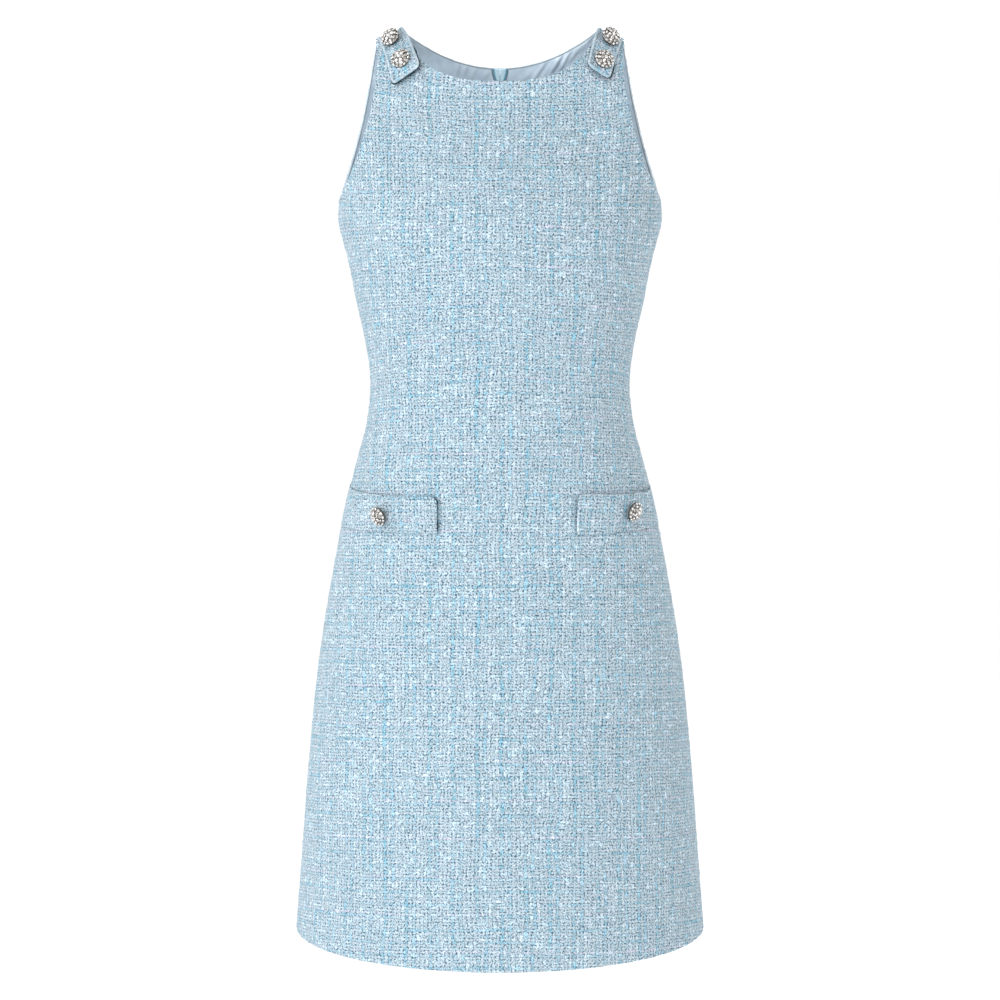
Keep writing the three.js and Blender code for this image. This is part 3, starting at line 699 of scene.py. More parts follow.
def turned_shell(profile, sides):
    """Points and faces of a shape turned about Z, from the radii and heights of its profile.

    The profile runs upwards from the axis back to the axis.
    """
    angles = 2 * math.pi * np.arange(sides) / sides
    rings = [circle(angles, radius, height) for radius, height in profile[1:-1]]
    foot, tip = ([[0, 0, profile[end][1]]] for end in (0, -1))
    points = np.concatenate([foot, *rings, tip])
    last = len(points) - 1 - sides
    faces = []
    for k in range(sides):
        n = (k + 1) % sides
        faces.append((0, 1 + n, 1 + k))
        for ring in range(1, last, sides):
            faces.append((ring + k, ring + n, ring + sides + n, ring + sides + k))
        faces.append((last + k, last + n, len(points) - 1))
    return points, faces


def joined(parts):
    """Several (points, faces) parts as one."""
    points, faces, count = [], [], 0
    for part_points, part_faces in parts:
        points.append(part_points)
        faces.extend(tuple(v + count for v in face) for face in part_faces)
        count += len(part_points)
    return np.concatenate(points), faces


def settle(piece, slot, *nodes):
    """Puts a finished piece on the dress, in place of its CAD nodes."""
    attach(piece, DRESS_BODY)
    if nodes:
        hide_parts(*nodes)


def settle_sheet(piece, grid, slot, node, **lie):
    """Settles a sheet of cloth on the dress, and works out the size that it was cut to, which is not
    kept. How it lies is not used.
    """
    settle(piece, slot, node)
    flat, area = grid.cut_size()


# ---------------------------------------------------------------- materials


def linear(hex_colour):
    """An sRGB hex colour as linear red, green, blue."""
    parts = [int(hex_colour[k : k + 2], 16) / 255 for k in (1, 3, 5)]
    return [c / 12.92 if c <= 0.04045 else ((c + 0.055) / 1.055) ** 2.4 for c in parts]


def grey(value):
    """A grey as red, green, blue."""
    return (value, value, value)


def set_inputs(tree, node, inputs):
    """Sets a node's inputs, each from a value, an output, or a node for its first live output."""
    for key, value in inputs.items():
        socket = node.inputs[key]
        if isinstance(value, bpy.types.Node):
            value = next(output for output in value.outputs if output.enabled)
        if isinstance(value, bpy.types.NodeSocket):
            tree.links.new(value, socket)
        elif socket.type == "RGBA":
            socket.default_value = (*tuple(value)[:3], 1)
        else:
            socket.default_value = value


def add_node(tree, kind, inputs=None, stops=(), **settings):
    """Adds a node with its settings and links, and a colour ramp's (position, colour) stops."""
    made = tree.nodes.new("ShaderNode" + kind)
    for name, value in settings.items():
        setattr(made, name, value)
    set_inputs(tree, made, inputs or {})
    if stops:
        elements = made.color_ramp.elements
        while len(elements) > 1:
            elements.remove(elements[-1])
        for number, (position, colour) in enumerate(stops):
            element = elements.new(position) if number else elements[0]
            element.position = position
            element.color = (*tuple(colour)[:3], 1)
    return made


def finish_of(build, settings):
    """The material that a function describes, made the first time that it is asked for."""
    material = bpy.data.materials.get(build.__name__)
    if material is None:
        material = bpy.data.materials.new(build.__name__)
        material.use_nodes = True
        tree = material.node_tree
        set_inputs(tree, tree.nodes["Principled BSDF"], build(partial(add_node, tree), settings))
    return material


# Sockets of the Mix node when it mixes colours.
FACTOR, COLOUR_A, COLOUR_B = 0, 6, 7

# Each function below describes one material. It adds nodes by `add`, and returns what the
# shader's own inputs take.

# Order of the yarns on the loom, repeated across the cloth and up it.
WARP_ORDER = ("sky", "mist", "blue", "pale", "ground", "mist")
WEFT_ORDER = (
    "sky", "pale", "mist", "ground", "blue", "lilac", "mist", "mist", "blue", "pale", "ground",
    "mist",
)


def boucle_tweed(add, cloth):
    """Boucle tweed, plain woven from thick looped yarns, space-dyed from sky blue to off-white.

    The loops break up the light, so it is matt and speckled, with broken lines of brighter yarn
    both ways and a pale bloom where the cloth turns away. The pinholes between the yarns and the
    feet of the loops are painted dark, as painted shade, and their crowns painted pale, as a
    painted highlight.
    """
    grain = add("UVMap", uv_map="grain")
    in_yarns = (1 / cloth.warp_spacing, 1 / cloth.weft_spacing, 0)
    yarns = add("VectorMath", {0: grain, 1: in_yarns}, operation="MULTIPLY")
    place = yarns
    # Loops push the yarns about by part of a yarn, and the whole weave drifts slowly.
    for size, reach in ((0.8, (0.9, 0.9, 0)), (20.0, (2.2, 1.2, 0))):
        push = add(
            "TexNoise", {"Vector": yarns, "Scale": 1 / size, "Detail": 1.0}, noise_dimensions="2D"
        )
        centred = add("VectorMath", {0: push.outputs["Color"], 1: grey(0.5)}, operation="SUBTRACT")
        place = add("VectorMath", {0: centred, 1: reach, 2: place}, operation="MULTIPLY_ADD")
    split = add("SeparateXYZ", {0: place})
    across, up = split.outputs["X"], split.outputs["Y"]
    warp = yarn_system(add, across, up, WARP_ORDER, cloth, run=0.04, sunk=0.34)
    weft = yarn_system(add, up, across, WEFT_ORDER, cloth, run=0.09, sunk=0.42)

    # Each crossing holds its own loop. A few crossings miss, so a yarn floats over its neighbour.
    crossing = add("CombineXYZ", {"X": warp["number"], "Y": weft["number"]})
    chance = add("TexWhiteNoise", {"Vector": crossing}, noise_dimensions="2D")
    missed = add("Math", {0: chance, 1: 0.82}, operation="GREATER_THAN")
    cell = add("Math", {0: warp["number"], 1: weft["number"]}, operation="ADD")
    cell = add("Math", {0: cell, 1: missed}, operation="ADD")
    weft_over = add("Math", {0: cell, 1: 1.0}, operation="PINGPONG")
    shown = add("Math", {0: weft_over, 1: 0.5, 2: 0.25}, operation="MULTIPLY_ADD")
    colour = add(
        "Mix", {FACTOR: shown, COLOUR_A: warp["colour"], COLOUR_B: weft["colour"]},
        data_type="RGBA",
    )
    loops = add(
        "ValToRGB", {0: chance},
        [(0, grey(0.9)), (0.5, grey(0.98)), (0.8, grey(1.03)), (1, grey(1.36))],
    )
    colour = add(
        "Mix", {FACTOR: 1.0, COLOUR_A: colour, COLOUR_B: loops}, data_type="RGBA",
        blend_type="MULTIPLY",
    )

    # The yarns bulge away from their edges and leave a pit where four of them meet.
    hollow_warp = add("Math", {0: 1.0, 1: warp["round"]}, operation="SUBTRACT")
    hollow_weft = add("Math", {0: 1.0, 1: weft["round"]}, operation="SUBTRACT")
    pit = add("Math", {0: hollow_warp, 1: hollow_weft}, operation="MULTIPLY")
    seam = add("Mix", {0: weft_over, 2: hollow_warp, 3: hollow_weft})
    pit = add("Math", {0: seam, 1: 0.22, 2: pit}, operation="MULTIPLY_ADD")
    # Every loop of the boucle is a small curl, with a painted highlight on its crown and painted
    # shade round its foot. Some curls are of the fine teal, lilac and cream yarns that are spun in
    # with the thick ones.
    in_curls = (1 / cloth.loop_size, 0.8 / cloth.loop_size, 0)
    curl_place = add("VectorMath", {0: grain, 1: in_curls}, operation="MULTIPLY")
    curls = add("TexVoronoi", {"Vector": curl_place, "Scale": 1.0}, voronoi_dimensions="2D")
    spun_in = add("SeparateColor", {0: curls.outputs["Color"]})
    flecks = add(
        "ValToRGB", {0: spun_in.outputs["Red"]},
        [
            (0.0, cloth.teal_fleck), (0.13, cloth.ground_yarn), (0.42, cloth.mist_yarn),
            (0.66, cloth.pale_yarn), (0.86, cloth.lilac_fleck), (0.94, cloth.cream_fleck),
        ],
    )
    flecks.color_ramp.interpolation = "CONSTANT"
    colour = add("Mix", {FACTOR: 0.22, COLOUR_A: colour, COLOUR_B: flecks}, data_type="RGBA")
    pit = add("Math", {0: pit, 1: 0.5, 2: -0.06}, operation="MULTIPLY_ADD")
    pit = add("Math", {0: curls.outputs["Distance"], 1: 0.85, 2: pit}, operation="MULTIPLY_ADD")
    # The turned edges of the trims are pressed: their loops lie flat, and their painted light and
    # shade evens out.
    pressed = add("Attribute", attribute_name="pressed")
    flattened = add("Math", {0: pressed.outputs["Fac"], 1: 0.7}, operation="MULTIPLY")
    pit = add("Mix", {0: flattened, 2: pit, 3: 0.34})
    # Pits are painted dark and crowns painted light: painted shade and painted highlight, on top of the
    # bump.
    painted_loop_light_and_shade = add(
        "ValToRGB", {0: pit}, [(0.0, grey(1.72)), (0.4, grey(0.96)), (0.9, linear("#567b90"))]
    )
    colour = add(
        "Mix", {FACTOR: 1.0, COLOUR_A: colour, COLOUR_B: painted_loop_light_and_shade}, data_type="RGBA",
        blend_type="MULTIPLY",
    )
    bump = add("Bump", {"Strength": 1.0, "Distance": -0.22 * cloth.weft_spacing, "Height": pit})
    return {
        "Base Color": colour, "Normal": bump, "Roughness": 0.92, "Specular IOR Level": 0.2,
        "Sheen Weight": 0.12, "Sheen Roughness": 0.6,
    }


def yarn_system(add, across, along, order, cloth, run, sunk):
    """One set of parallel yarns: each yarn's number, its round section and its dyed colour.

    run is how fast the dye changes along a yarn, in changes for each yarn spacing, and sunk the
    level of its noise below which the bright yarns stay down.
    """
    number = add("Math", {0: across}, operation="FLOOR")
    part = add("Math", {0: across}, operation="FRACT")
    turn = add("Math", {0: part, 1: math.pi}, operation="MULTIPLY")
    section = add("Math", {0: turn}, operation="SINE")
    own = add("Math", {0: number, 1: 3.71}, operation="MULTIPLY")
    stretched = add("Math", {0: along, 1: run}, operation="MULTIPLY")
    dye_place = add("CombineXYZ", {"X": own, "Y": stretched})
    dye = add("TexNoise", {"Vector": dye_place, "Scale": 1.0, "Detail": 2.0}, noise_dimensions="2D")
    spaced = add(
        "ValToRGB", {0: dye},
        [(0.3, cloth.ground_yarn), (0.5, cloth.mist_yarn), (0.7, cloth.pale_yarn)],
    )
    count = len(order)
    turns = add("Math", {0: number, 1: float(count)}, operation="FLOORED_MODULO")
    centred = add("Math", {0: turns, 1: 1 / count, 2: 0.5 / count}, operation="MULTIPLY_ADD")
    dyed = [getattr(cloth, f"{yarn}_yarn") for yarn in order]
    threaded = add("ValToRGB", {0: centred}, [(k / count, dyed[k]) for k in range(count)])
    threaded.color_ramp.interpolation = "CONSTANT"
    # The bright yarns are thin. They surface in broken lengths and sink between them.
    surfacing = add(
        "ValToRGB", {0: dye.outputs["Color"]}, [(sunk, grey(0.15)), (sunk + 0.24, grey(1))]
    )
    crown = add("ValToRGB", {0: section}, [(0.25, grey(0)), (0.65, grey(1))])
    shown = add("Math", {0: surfacing, 1: crown}, operation="MULTIPLY")
    colour = add("Mix", {FACTOR: shown, COLOUR_A: spaced, COLOUR_B: threaded}, data_type="RGBA")
    return {"number": number, "round": section, "colour": colour}


def lining_satin(add, cloth):
    """Polyester satin, woven with long floats on one face and pressed.

    The floats lie one way, so light runs along it and the folds look wet. Its colour runs in soft
    lighter and duller streaks, a painted sheen, and is painted darker along its turned edges, beside
    the shoulders and down one side of each pucker, as painted shade.
    """
    grain = add("UVMap", uv_map="grain")
    # Floats are 0.1 mm apart. They are drawn at 0.9 mm so that they show as a faint grain.
    floats = add("Mapping", {"Vector": grain, "Scale": (1 / 0.0009, 1 / 0.02, 1)})
    threads = add(
        "TexNoise", {"Vector": floats, "Scale": 1.0, "Detail": 1.0}, noise_dimensions="2D"
    )
    # The colour runs in soft streaks between the satin and its duller shade: a painted sheen.
    sheen = add(
        "TexNoise", {"Vector": grain, "Scale": 1 / 0.014, "Detail": 1.0}, noise_dimensions="2D"
    )
    tone = add("ValToRGB", {0: sheen}, [(0.3, cloth.satin_shade), (0.7, cloth.satin)])
    # The edge mark holds painted shade: where it is 1, the satin takes its painted shade colour.
    edge = add("Attribute", attribute_name="edge")
    colour = add(
        "Mix", {FACTOR: edge.outputs["Fac"], COLOUR_A: tone, COLOUR_B: cloth.satin_edge},
        data_type="RGBA",
    )
    bump = add("Bump", {"Strength": 0.25, "Distance": 0.00006, "Height": threads})
    return {
        "Base Color": colour, "Normal": bump, "Roughness": 0.42, "Anisotropic": 0.5,
        "Specular IOR Level": 0.4,
    }


def facing_lawn(add, cloth):
    """Dark blue cotton lawn under the trims, a painted shadow: close and matt, seen as a line at their
    free edges.
    """
    grain = add("UVMap", uv_map="grain")
    shade = [c * 0.8 for c in cloth.facing]
    # Lawn has 0.25 mm yarns. They are drawn at 0.8 mm.
    weave = add(
        "TexChecker",
        {"Vector": grain, "Scale": 1 / 0.0008, "Color1": cloth.facing, "Color2": shade},
    )
    return {"Base Color": weave, "Roughness": 0.9, "Specular IOR Level": 0.15}


def woven_tape(add, cloth):
    """Polyester zip tape, woven as a narrow herringbone: flat and dull with fine slanting ribs."""
    grain = add("UVMap", uv_map="grain")
    # Ribs are 0.5 mm apart. They are drawn at 1.8 mm.
    slanting = {
        "Vector": grain, "Scale": (1 / 0.0009, 1 / 0.0009, 1), "Rotation": (0, 0, math.radians(45)),
    }
    ribs = add("Mapping", slanting)
    wave = add("TexWave", {"Vector": ribs, "Scale": 0.16, "Distortion": 0.6})
    tone = add("ValToRGB", {0: wave}, [(0, cloth.tape_shade), (0.7, cloth.tape)])
    # The tape is painted darker towards its outer edge, beside the lining: painted shade.
    border = add("Attribute", attribute_name="selvedge")
    colour = add(
        "Mix", {FACTOR: border.outputs["Fac"], COLOUR_A: tone, COLOUR_B: cloth.selvedge},
        data_type="RGBA",
    )
    bump = add("Bump", {"Strength": 0.5, "Distance": 0.0002, "Height": wave})
    return {"Base Color": colour, "Normal": bump, "Roughness": 0.75}


def enamelled_zinc(add, trims):
    """Die-cast zinc with a baked enamel: smooth, dyed to match the cloth, worn thin on its edges."""
    speckle = add("TexNoise", {"Scale": 900.0, "Detail": 3.0})
    edges = add("NewGeometry")
    worn = add(
        "ValToRGB", {0: edges.outputs["Pointiness"]},
        [(0.52, trims.enamel), (0.62, linear("#c9d2d6"))],
    )
    colour = add(
        "Mix", {FACTOR: speckle, COLOUR_A: worn, COLOUR_B: trims.enamel}, data_type="RGBA"
    )
    gloss = add("ValToRGB", {0: speckle}, [(0.3, grey(0.22)), (0.7, grey(0.34))])
    return {
        "Base Color": colour, "Roughness": gloss, "Metallic": 0.35, "Coat Weight": 0.5,
        "Coat Roughness": 0.12,
    }


def nickel_plate(add, trims):
    """Stamped brass, nickel plated and barrel polished: bright on its claws, with painted shade between
    the stones and on the cup's lower side.
    """
    clouds = add("TexNoise", {"Scale": 700.0, "Detail": 2.0})
    pits = add("Attribute", attribute_name="depth")
    plated = add(
        "ValToRGB", {0: pits.outputs["Fac"]},
        [(0.0, trims.nickel), (0.5, trims.pits), (0.9, trims.tarnish)],
    )
    gloss = add("ValToRGB", {0: clouds}, [(0.3, grey(0.14)), (0.7, grey(0.3))])
    return {"Base Color": plated, "Roughness": gloss, "Metallic": 1.0}


def foiled_crystal(add, trims):
    """Cut glass with a mirror foil behind it. Each facet's colour is a painted reflection.

    Neighbouring facets are painted white, champagne or near black at random, as painted glints, so
    the stones sparkle.
    """
    glint = add("Attribute", attribute_name="glint")
    painted_glints = add(
        "ValToRGB", {0: glint.outputs["Fac"]},
        [
            (0.0, linear("#26221f")), (0.18, trims.crystal_deep), (0.45, trims.crystal_warm),
            (0.7, trims.crystal), (1.0, linear("#ffffff")),
        ],
    )
    flaws = add("TexNoise", {"Scale": 1800.0, "Detail": 1.0})
    polish = add("ValToRGB", {0: flaws}, [(0.3, grey(0.04)), (0.8, grey(0.12))])
    return {
        "Base Color": painted_glints, "Roughness": polish, "Metallic": 0.2, "IOR": 1.56,
        "Coat Weight": 0.3, "Coat Roughness": 0.02,
    }


def nylon_teeth(add, cloth):
    """Nylon monofilament wound in a coil and dyed with its tape: smooth, waxy and a little clear."""
    shade = add("TexNoise", {"Scale": 260.0, "Detail": 2.0})
    tone = add("ValToRGB", {0: shade}, [(0.3, cloth.tape_shade), (0.75, cloth.tape)])
    return {"Base Color": tone, "Roughness": 0.38}


def matt_board(add, stage):
    """Painted board: even and pale, with a faint roller mottle."""
    mottle = add("TexNoise", {"Scale": 9.0, "Detail": 2.0})
    worn = [c * 0.985 for c in stage.floor]
    tone = add("ValToRGB", {0: mottle}, [(0.3, worn), (0.7, stage.floor)])
    return {"Base Color": tone, "Roughness": 0.9, "Specular IOR Level": 0.1}


# ---------------------------------------------------------------- settings


def colour_setting(name, description, hex_colour):
    """A colour that a user may change."""
    return bpy.props.FloatVectorProperty(
        name=name, description=description, subtype="COLOR", size=3, min=0, max=1,
        default=linear(hex_colour),
    )


def length_setting(name, description, millimetres):
    """A length that a user may change, given in millimetres."""
    return bpy.props.FloatProperty(
        name=name, description=description, unit="LENGTH", default=millimetres * MM, min=0,
        precision=4,
    )


class DressCloth(bpy.types.PropertyGroup):
    """Sizes and dyes of the cloths."""

    tweed_wall: length_setting("Tweed", "Thickness of the tweed panels and trims", 2)
    lining_wall: length_setting("Lining", "Thickness of the lining and zip tapes", 1)
    warp_spacing: length_setting("Warp spacing", "Distance between upright tweed yarns", 3.75)
    weft_spacing: length_setting("Weft spacing", "Distance between crosswise tweed yarns", 2.95)
    loop_size: length_setting("Loop size", "Spacing of the loops along a yarn", 1.35)
    ground_yarn: colour_setting("Ground yarn", "Mid blue body of the tweed", "#9eb1bc")
    mist_yarn: colour_setting("Mist yarn", "Pale blue lengths of the tweed yarns", "#a6b7c0")
    pale_yarn: colour_setting("Pale yarn", "Off-white lengths and slubs", "#b0bcc4")
    sky_yarn: colour_setting("Sky yarn", "Bright accent yarn, both ways", "#509ab1")
    blue_yarn: colour_setting("Blue yarn", "Second accent yarn, both ways", "#71a3b9")
    lilac_yarn: colour_setting("Lilac yarn", "Faint warm accent yarn", "#b8b1c4")
    teal_fleck: colour_setting("Teal fleck", "Loops of fine teal yarn", "#5c93a9")
    lilac_fleck: colour_setting("Lilac fleck", "Loops of fine lilac yarn", "#bfb9cb")
    cream_fleck: colour_setting("Cream fleck", "Loops of fine cream yarn", "#cdcbbd")
    # The two ends of the satin's painted sheen streaks.
    satin: colour_setting("Satin", "Lining satin in the light", "#dbe8f2")
    satin_shade: colour_setting("Satin shade", "Lining satin in its duller streaks", "#c6d6e2")
    # Painted shade: the satin's colour at its edges, beside the shoulders and on pucker flanks.
    satin_edge: colour_setting("Satin edge", "Lining satin at its pressed edges", "#7d8487")
    # A painted shadow: the facing is dyed dark so that its edge shows as the shade line under the tabs
    # and welts.
    facing: colour_setting("Facing", "Dark facing under the tabs and welts", "#27404d")
    tape: colour_setting("Zip tape", "Ribs of the zip tape", "#e0f8ff")
    tape_shade: colour_setting("Zip tape shade", "Hollows of the zip tape", "#c2e6f2")
    # Painted shade: the tape's colour towards its outer edge, beside the lining.
    selvedge: colour_setting("Selvedge", "Dark woven edges of the zip tape", "#6fa6bb")


class DressTrims(bpy.types.PropertyGroup):
    """Sizes and colours of the buttons and the zip's metal."""

    button_radius: length_setting("Button radius", "From a button's middle to its rim", 9.1)
    nickel: colour_setting("Nickel", "Plating on the button cups and claws", "#d6d4cf")
    # Painted shade: the plating's colour down between the stones.
    pits: colour_setting("Pits", "Plating down between the stones", "#6d6964")
    # Painted shade: the cup's colour on its lower side and shank, below the stones.
    tarnish: colour_setting("Tarnish", "Blackened sides of the cups", "#2b2927")
    # Painted reflections: the colours that a facet's glint is painted in.
    crystal: colour_setting("Crystal", "Bright facets", "#eeedea")
    crystal_warm: colour_setting("Warm crystal", "Champagne facets", "#c8bdb4")
    crystal_deep: colour_setting("Deep crystal", "Facets turned from the light", "#857f7b")
    enamel: colour_setting("Zip enamel", "Enamel on the slider and pull", "#86b4cc")


class DressStage(bpy.types.PropertyGroup):
    """Camera, lights and floor."""

    camera_back: length_setting("Camera distance", "How far the camera stands in front", 2550)
    camera_lens: bpy.props.FloatProperty(
        name="Lens", description="Focal length of the camera", unit="CAMERA", default=97.22, min=1
    )
    camera_tip: bpy.props.FloatProperty(
        name="Tip", description="How far the camera looks down", subtype="ANGLE",
        default=math.radians(8.31),
    )
    key_power: bpy.props.FloatProperty(
        name="Key", description="Soft light low at the wearer's right", unit="POWER", default=42
    )
    key_colour: colour_setting("Key colour", "Cool daylight of the key light", "#eef7ff")
    surround: bpy.props.FloatProperty(
        name="Surround", description="Brightness of the white room", default=1.36, min=0
    )
    flag_side: bpy.props.FloatVectorProperty(
        name="Flag side", description="Where the room is darkest", default=(0.4, 0.1, 0.9)
    )
    flag_tone: bpy.props.FloatProperty(
        name="Flag tone", description="Brightness left where the room is darkest", default=0.4, min=0
    )
    floor_below: length_setting("Floor", "How far the floor lies below the hem", 540)
    floor: colour_setting("Floor", "Paint on the floor", "#fbfbfb")


# ---------------------------------------------------------------- the stage

# Places of the two lamps, in metres, and each one's share of the key power.
LAMPS = {"key": ((-1.7, -2.9, -0.2), 1), "back_key": ((2.2, 2.6, -0.2), 0.5)}
LAMP_SIZE = 1.3
CAMERA_Z = -0.07
FLOOR_RADIUS = 60


def soft_light(name, at, target, power, colour):
    """A large square lamp turned to a point."""
    lamp = bpy.data.lights.new(name, "AREA")
    lamp.size = LAMP_SIZE
    lamp.energy = power
    lamp.color = colour
    light = bpy.data.objects.new(name, lamp)
    light.location = at
    light.rotation_euler = (Vector(target) - Vector(at)).to_track_quat("-Z", "Y").to_euler()
    bpy.context.scene.collection.objects.link(light)


class DRESS_OT_stage(bpy.types.Operator):
    """Sets up the floor, the white surround, the soft lights and the camera"""

    bl_idname = "dress.stage"
    bl_label = "Stage"

    def execute(self, context):
        stage = context.scene.dress_stage
        context.scene.view_settings.view_transform = "Standard"
        world = bpy.data.worlds.new("white_room")
        world.use_nodes = True
        tree = world.node_tree
        # Black flags hang overhead and at the wearer's upper left, out of the camera's sight.
        way = add_node(tree, "TexCoord")
        towards_flags = Vector(stage.flag_side).normalized()
        flagged = add_node(
            tree, "VectorMath", {0: way.outputs["Generated"], 1: towards_flags},
            operation="DOT_PRODUCT",
        )
        stops = [(0.5, grey(1)), (1.0, grey(stage.flag_tone))]
        room = add_node(tree, "ValToRGB", {0: flagged}, stops)
        set_inputs(tree, tree.nodes["Background"], {"Color": room, "Strength": stage.surround})
        context.scene.world = world

        bpy.ops.mesh.primitive_circle_add(
            vertices=64, radius=FLOOR_RADIUS, fill_type="TRIFAN",
            location=(0, 0, cad_box[0].z - stage.floor_below),
        )
        floor = context.object
        floor.name = "floor"
        floor.data.materials.append(finish_of(matt_board, stage))

        middle = (cad_box[0] + cad_box[1]) / 2
        for name, (at, share) in LAMPS.items():
            soft_light(name, at, middle, stage.key_power * share, stage.key_colour)

        view = bpy.data.cameras.new("camera")
        view.lens = stage.camera_lens
        camera = bpy.data.objects.new("camera", view)
        camera.location = (0, -stage.camera_back, CAMERA_Z)
        camera.rotation_euler = (math.pi / 2 - stage.camera_tip, 0, 0)
        context.scene.collection.objects.link(camera)
        context.scene.camera = camera
        return {"FINISHED"}


# ---------------------------------------------------------------- tweed panels


def from_centre(z):
    """Inner edge of the front's halves, on the centre line."""
    return np.zeros_like(np.asarray(z, float))


def from_centre_back(z):
    """Inner edge of the backs and zip tapes, half a seam from the centre line."""
    return np.full_like(np.asarray(z, float), HALF_SEAM)


class DRESS_OT_panels(bpy.types.Operator):
    """Makes the front and the two backs, with turned edges, rolled seams and soft creases"""

    bl_idname = "dress.panels"
    bl_label = "Front and Backs"

    def execute(self, context):
        cloth = context.scene.dress_cloth
        finishes = [finish_of(boucle_tweed, cloth), finish_of(lining_satin, cloth)]
        rng = np.random.default_rng(SEEDS["panels"])
        for name, side, hand in (
            ("front", FRONT, LEFT), ("back_left", BACK, LEFT), ("back_right", BACK, RIGHT),
        ):
            from_x = from_centre if side == FRONT else from_centre_back
            shares = panel_shares(side, from_x, PANEL_STEPS)
            hands = np.full(len(shares), hand)
            if side == FRONT:
                hands = np.concatenate([np.full(len(shares) - 1, RIGHT), hands])
                shares = np.concatenate([shares[:0:-1], shares])
            grid = section_grid(side, hands, shares, PANEL_STEPS, from_x)
            outer, inner = wall(grid, 0, -cloth.tweed_wall / MM, points=knotted(grid, rng))
            piece = cloth_piece(f"{name}_tweed", grid, outer, inner, finishes, side == BACK)
            settle_sheet(piece, grid, "tweed", name, held="hung")
        return {"FINISHED"}


# ---------------------------------------------------------------- lining and zip


def from_tape(z):
    """Inner edge of the linings, beside the zip tapes."""
    return zip_x(z) + HALF_SEAM


def tape_edge_angle(z):
    """Angle round the section at which a zip tape ends."""
    return np.arcsin((zip_x(z) - HALF_SEAM) / read(LEVELS, "half", z))


class DRESS_OT_linings(bpy.types.Operator):
    """Makes the satin lining of both backs, seen through the neck and armholes"""

    bl_idname = "dress.linings"
    bl_label = "Back Linings"

    def execute(self, context):
        cloth = context.scene.dress_cloth
        satin = finish_of(lining_satin, cloth)
        inside = -cloth.tweed_wall / MM - SEAM_GAP
        shares = panel_shares(BACK, from_tape, LINING_STEPS)
        for word, hand in HANDS.items():
            grid = section_grid(
                BACK, np.full(len(shares), hand), shares, LINING_STEPS, from_tape,
                bottom=LINING_BOTTOM,
            )
            grid.sewn = np.full_like(grid.sewn, np.inf)
            grid.free = np.minimum(grid.free, running(grid.at, 1))
            outer, inner = wall(grid, inside, inside - cloth.lining_wall / MM)
            x, z = grid.at[..., 0], grid.at[..., 2]
            pucker = swell(PUCKERS, x, z)
            held = smoothstep(0, LINING["held"], grid.free)
            loose = pucker * (LINING["at_edge"] + (1 - LINING["at_edge"]) * held)
            inner -= grid.normal * np.maximum(loose, LINING["sink"])[..., None]
            # The satin is painted darker along its pressed edges, beside the shoulders and down the
            # flank of each pucker that faces away from the key light: painted shade.
            slope = np.gradient(pucker, axis=1) / np.gradient(x, axis=1)
            flank = LINING["flank"] * np.clip(-slope / LINING["steep"], 0, 1) * held
            from_neck_point = np.hypot(np.abs(x) - SHOULDER["neck_x"], z)
            beside = LINING["beside"] * (1 - smoothstep(*LINING["beside_reach"], from_neck_point))
            pressed = 1 - smoothstep(*LINING["edge"], grid.free)
            piece = cloth_piece(
                f"back_lining_{word}_satin", grid, outer, inner, [satin],
                edge=np.maximum(pressed, np.maximum(beside, flank)),
            )
            settle_sheet(
                piece, grid, "satin_lining", f"back_lining_{word}", held="hung",
                rests_on=[f"back_{word}_tweed"],
            )
        return {"FINISHED"}


def round_ended_rod(start, end, radius, sides=6, cap_steps=2):
    """Points and faces of one tooth of the zip."""
    axis = unit(end - start)
    first = unit(np.cross(axis, [0.3, 0.5, 0.8]))
    turns = np.linspace(0, math.pi / 2, cap_steps + 1)
    foot = [(radius * math.sin(turn), -radius * math.cos(turn)) for turn in turns]
    length = np.linalg.norm(end - start)
    tip = [(out, length - height) for out, height in foot[::-1]]
    points, faces = turned_shell(foot + tip, sides)
    return start + points @ np.array([first, np.cross(axis, first), axis]), faces


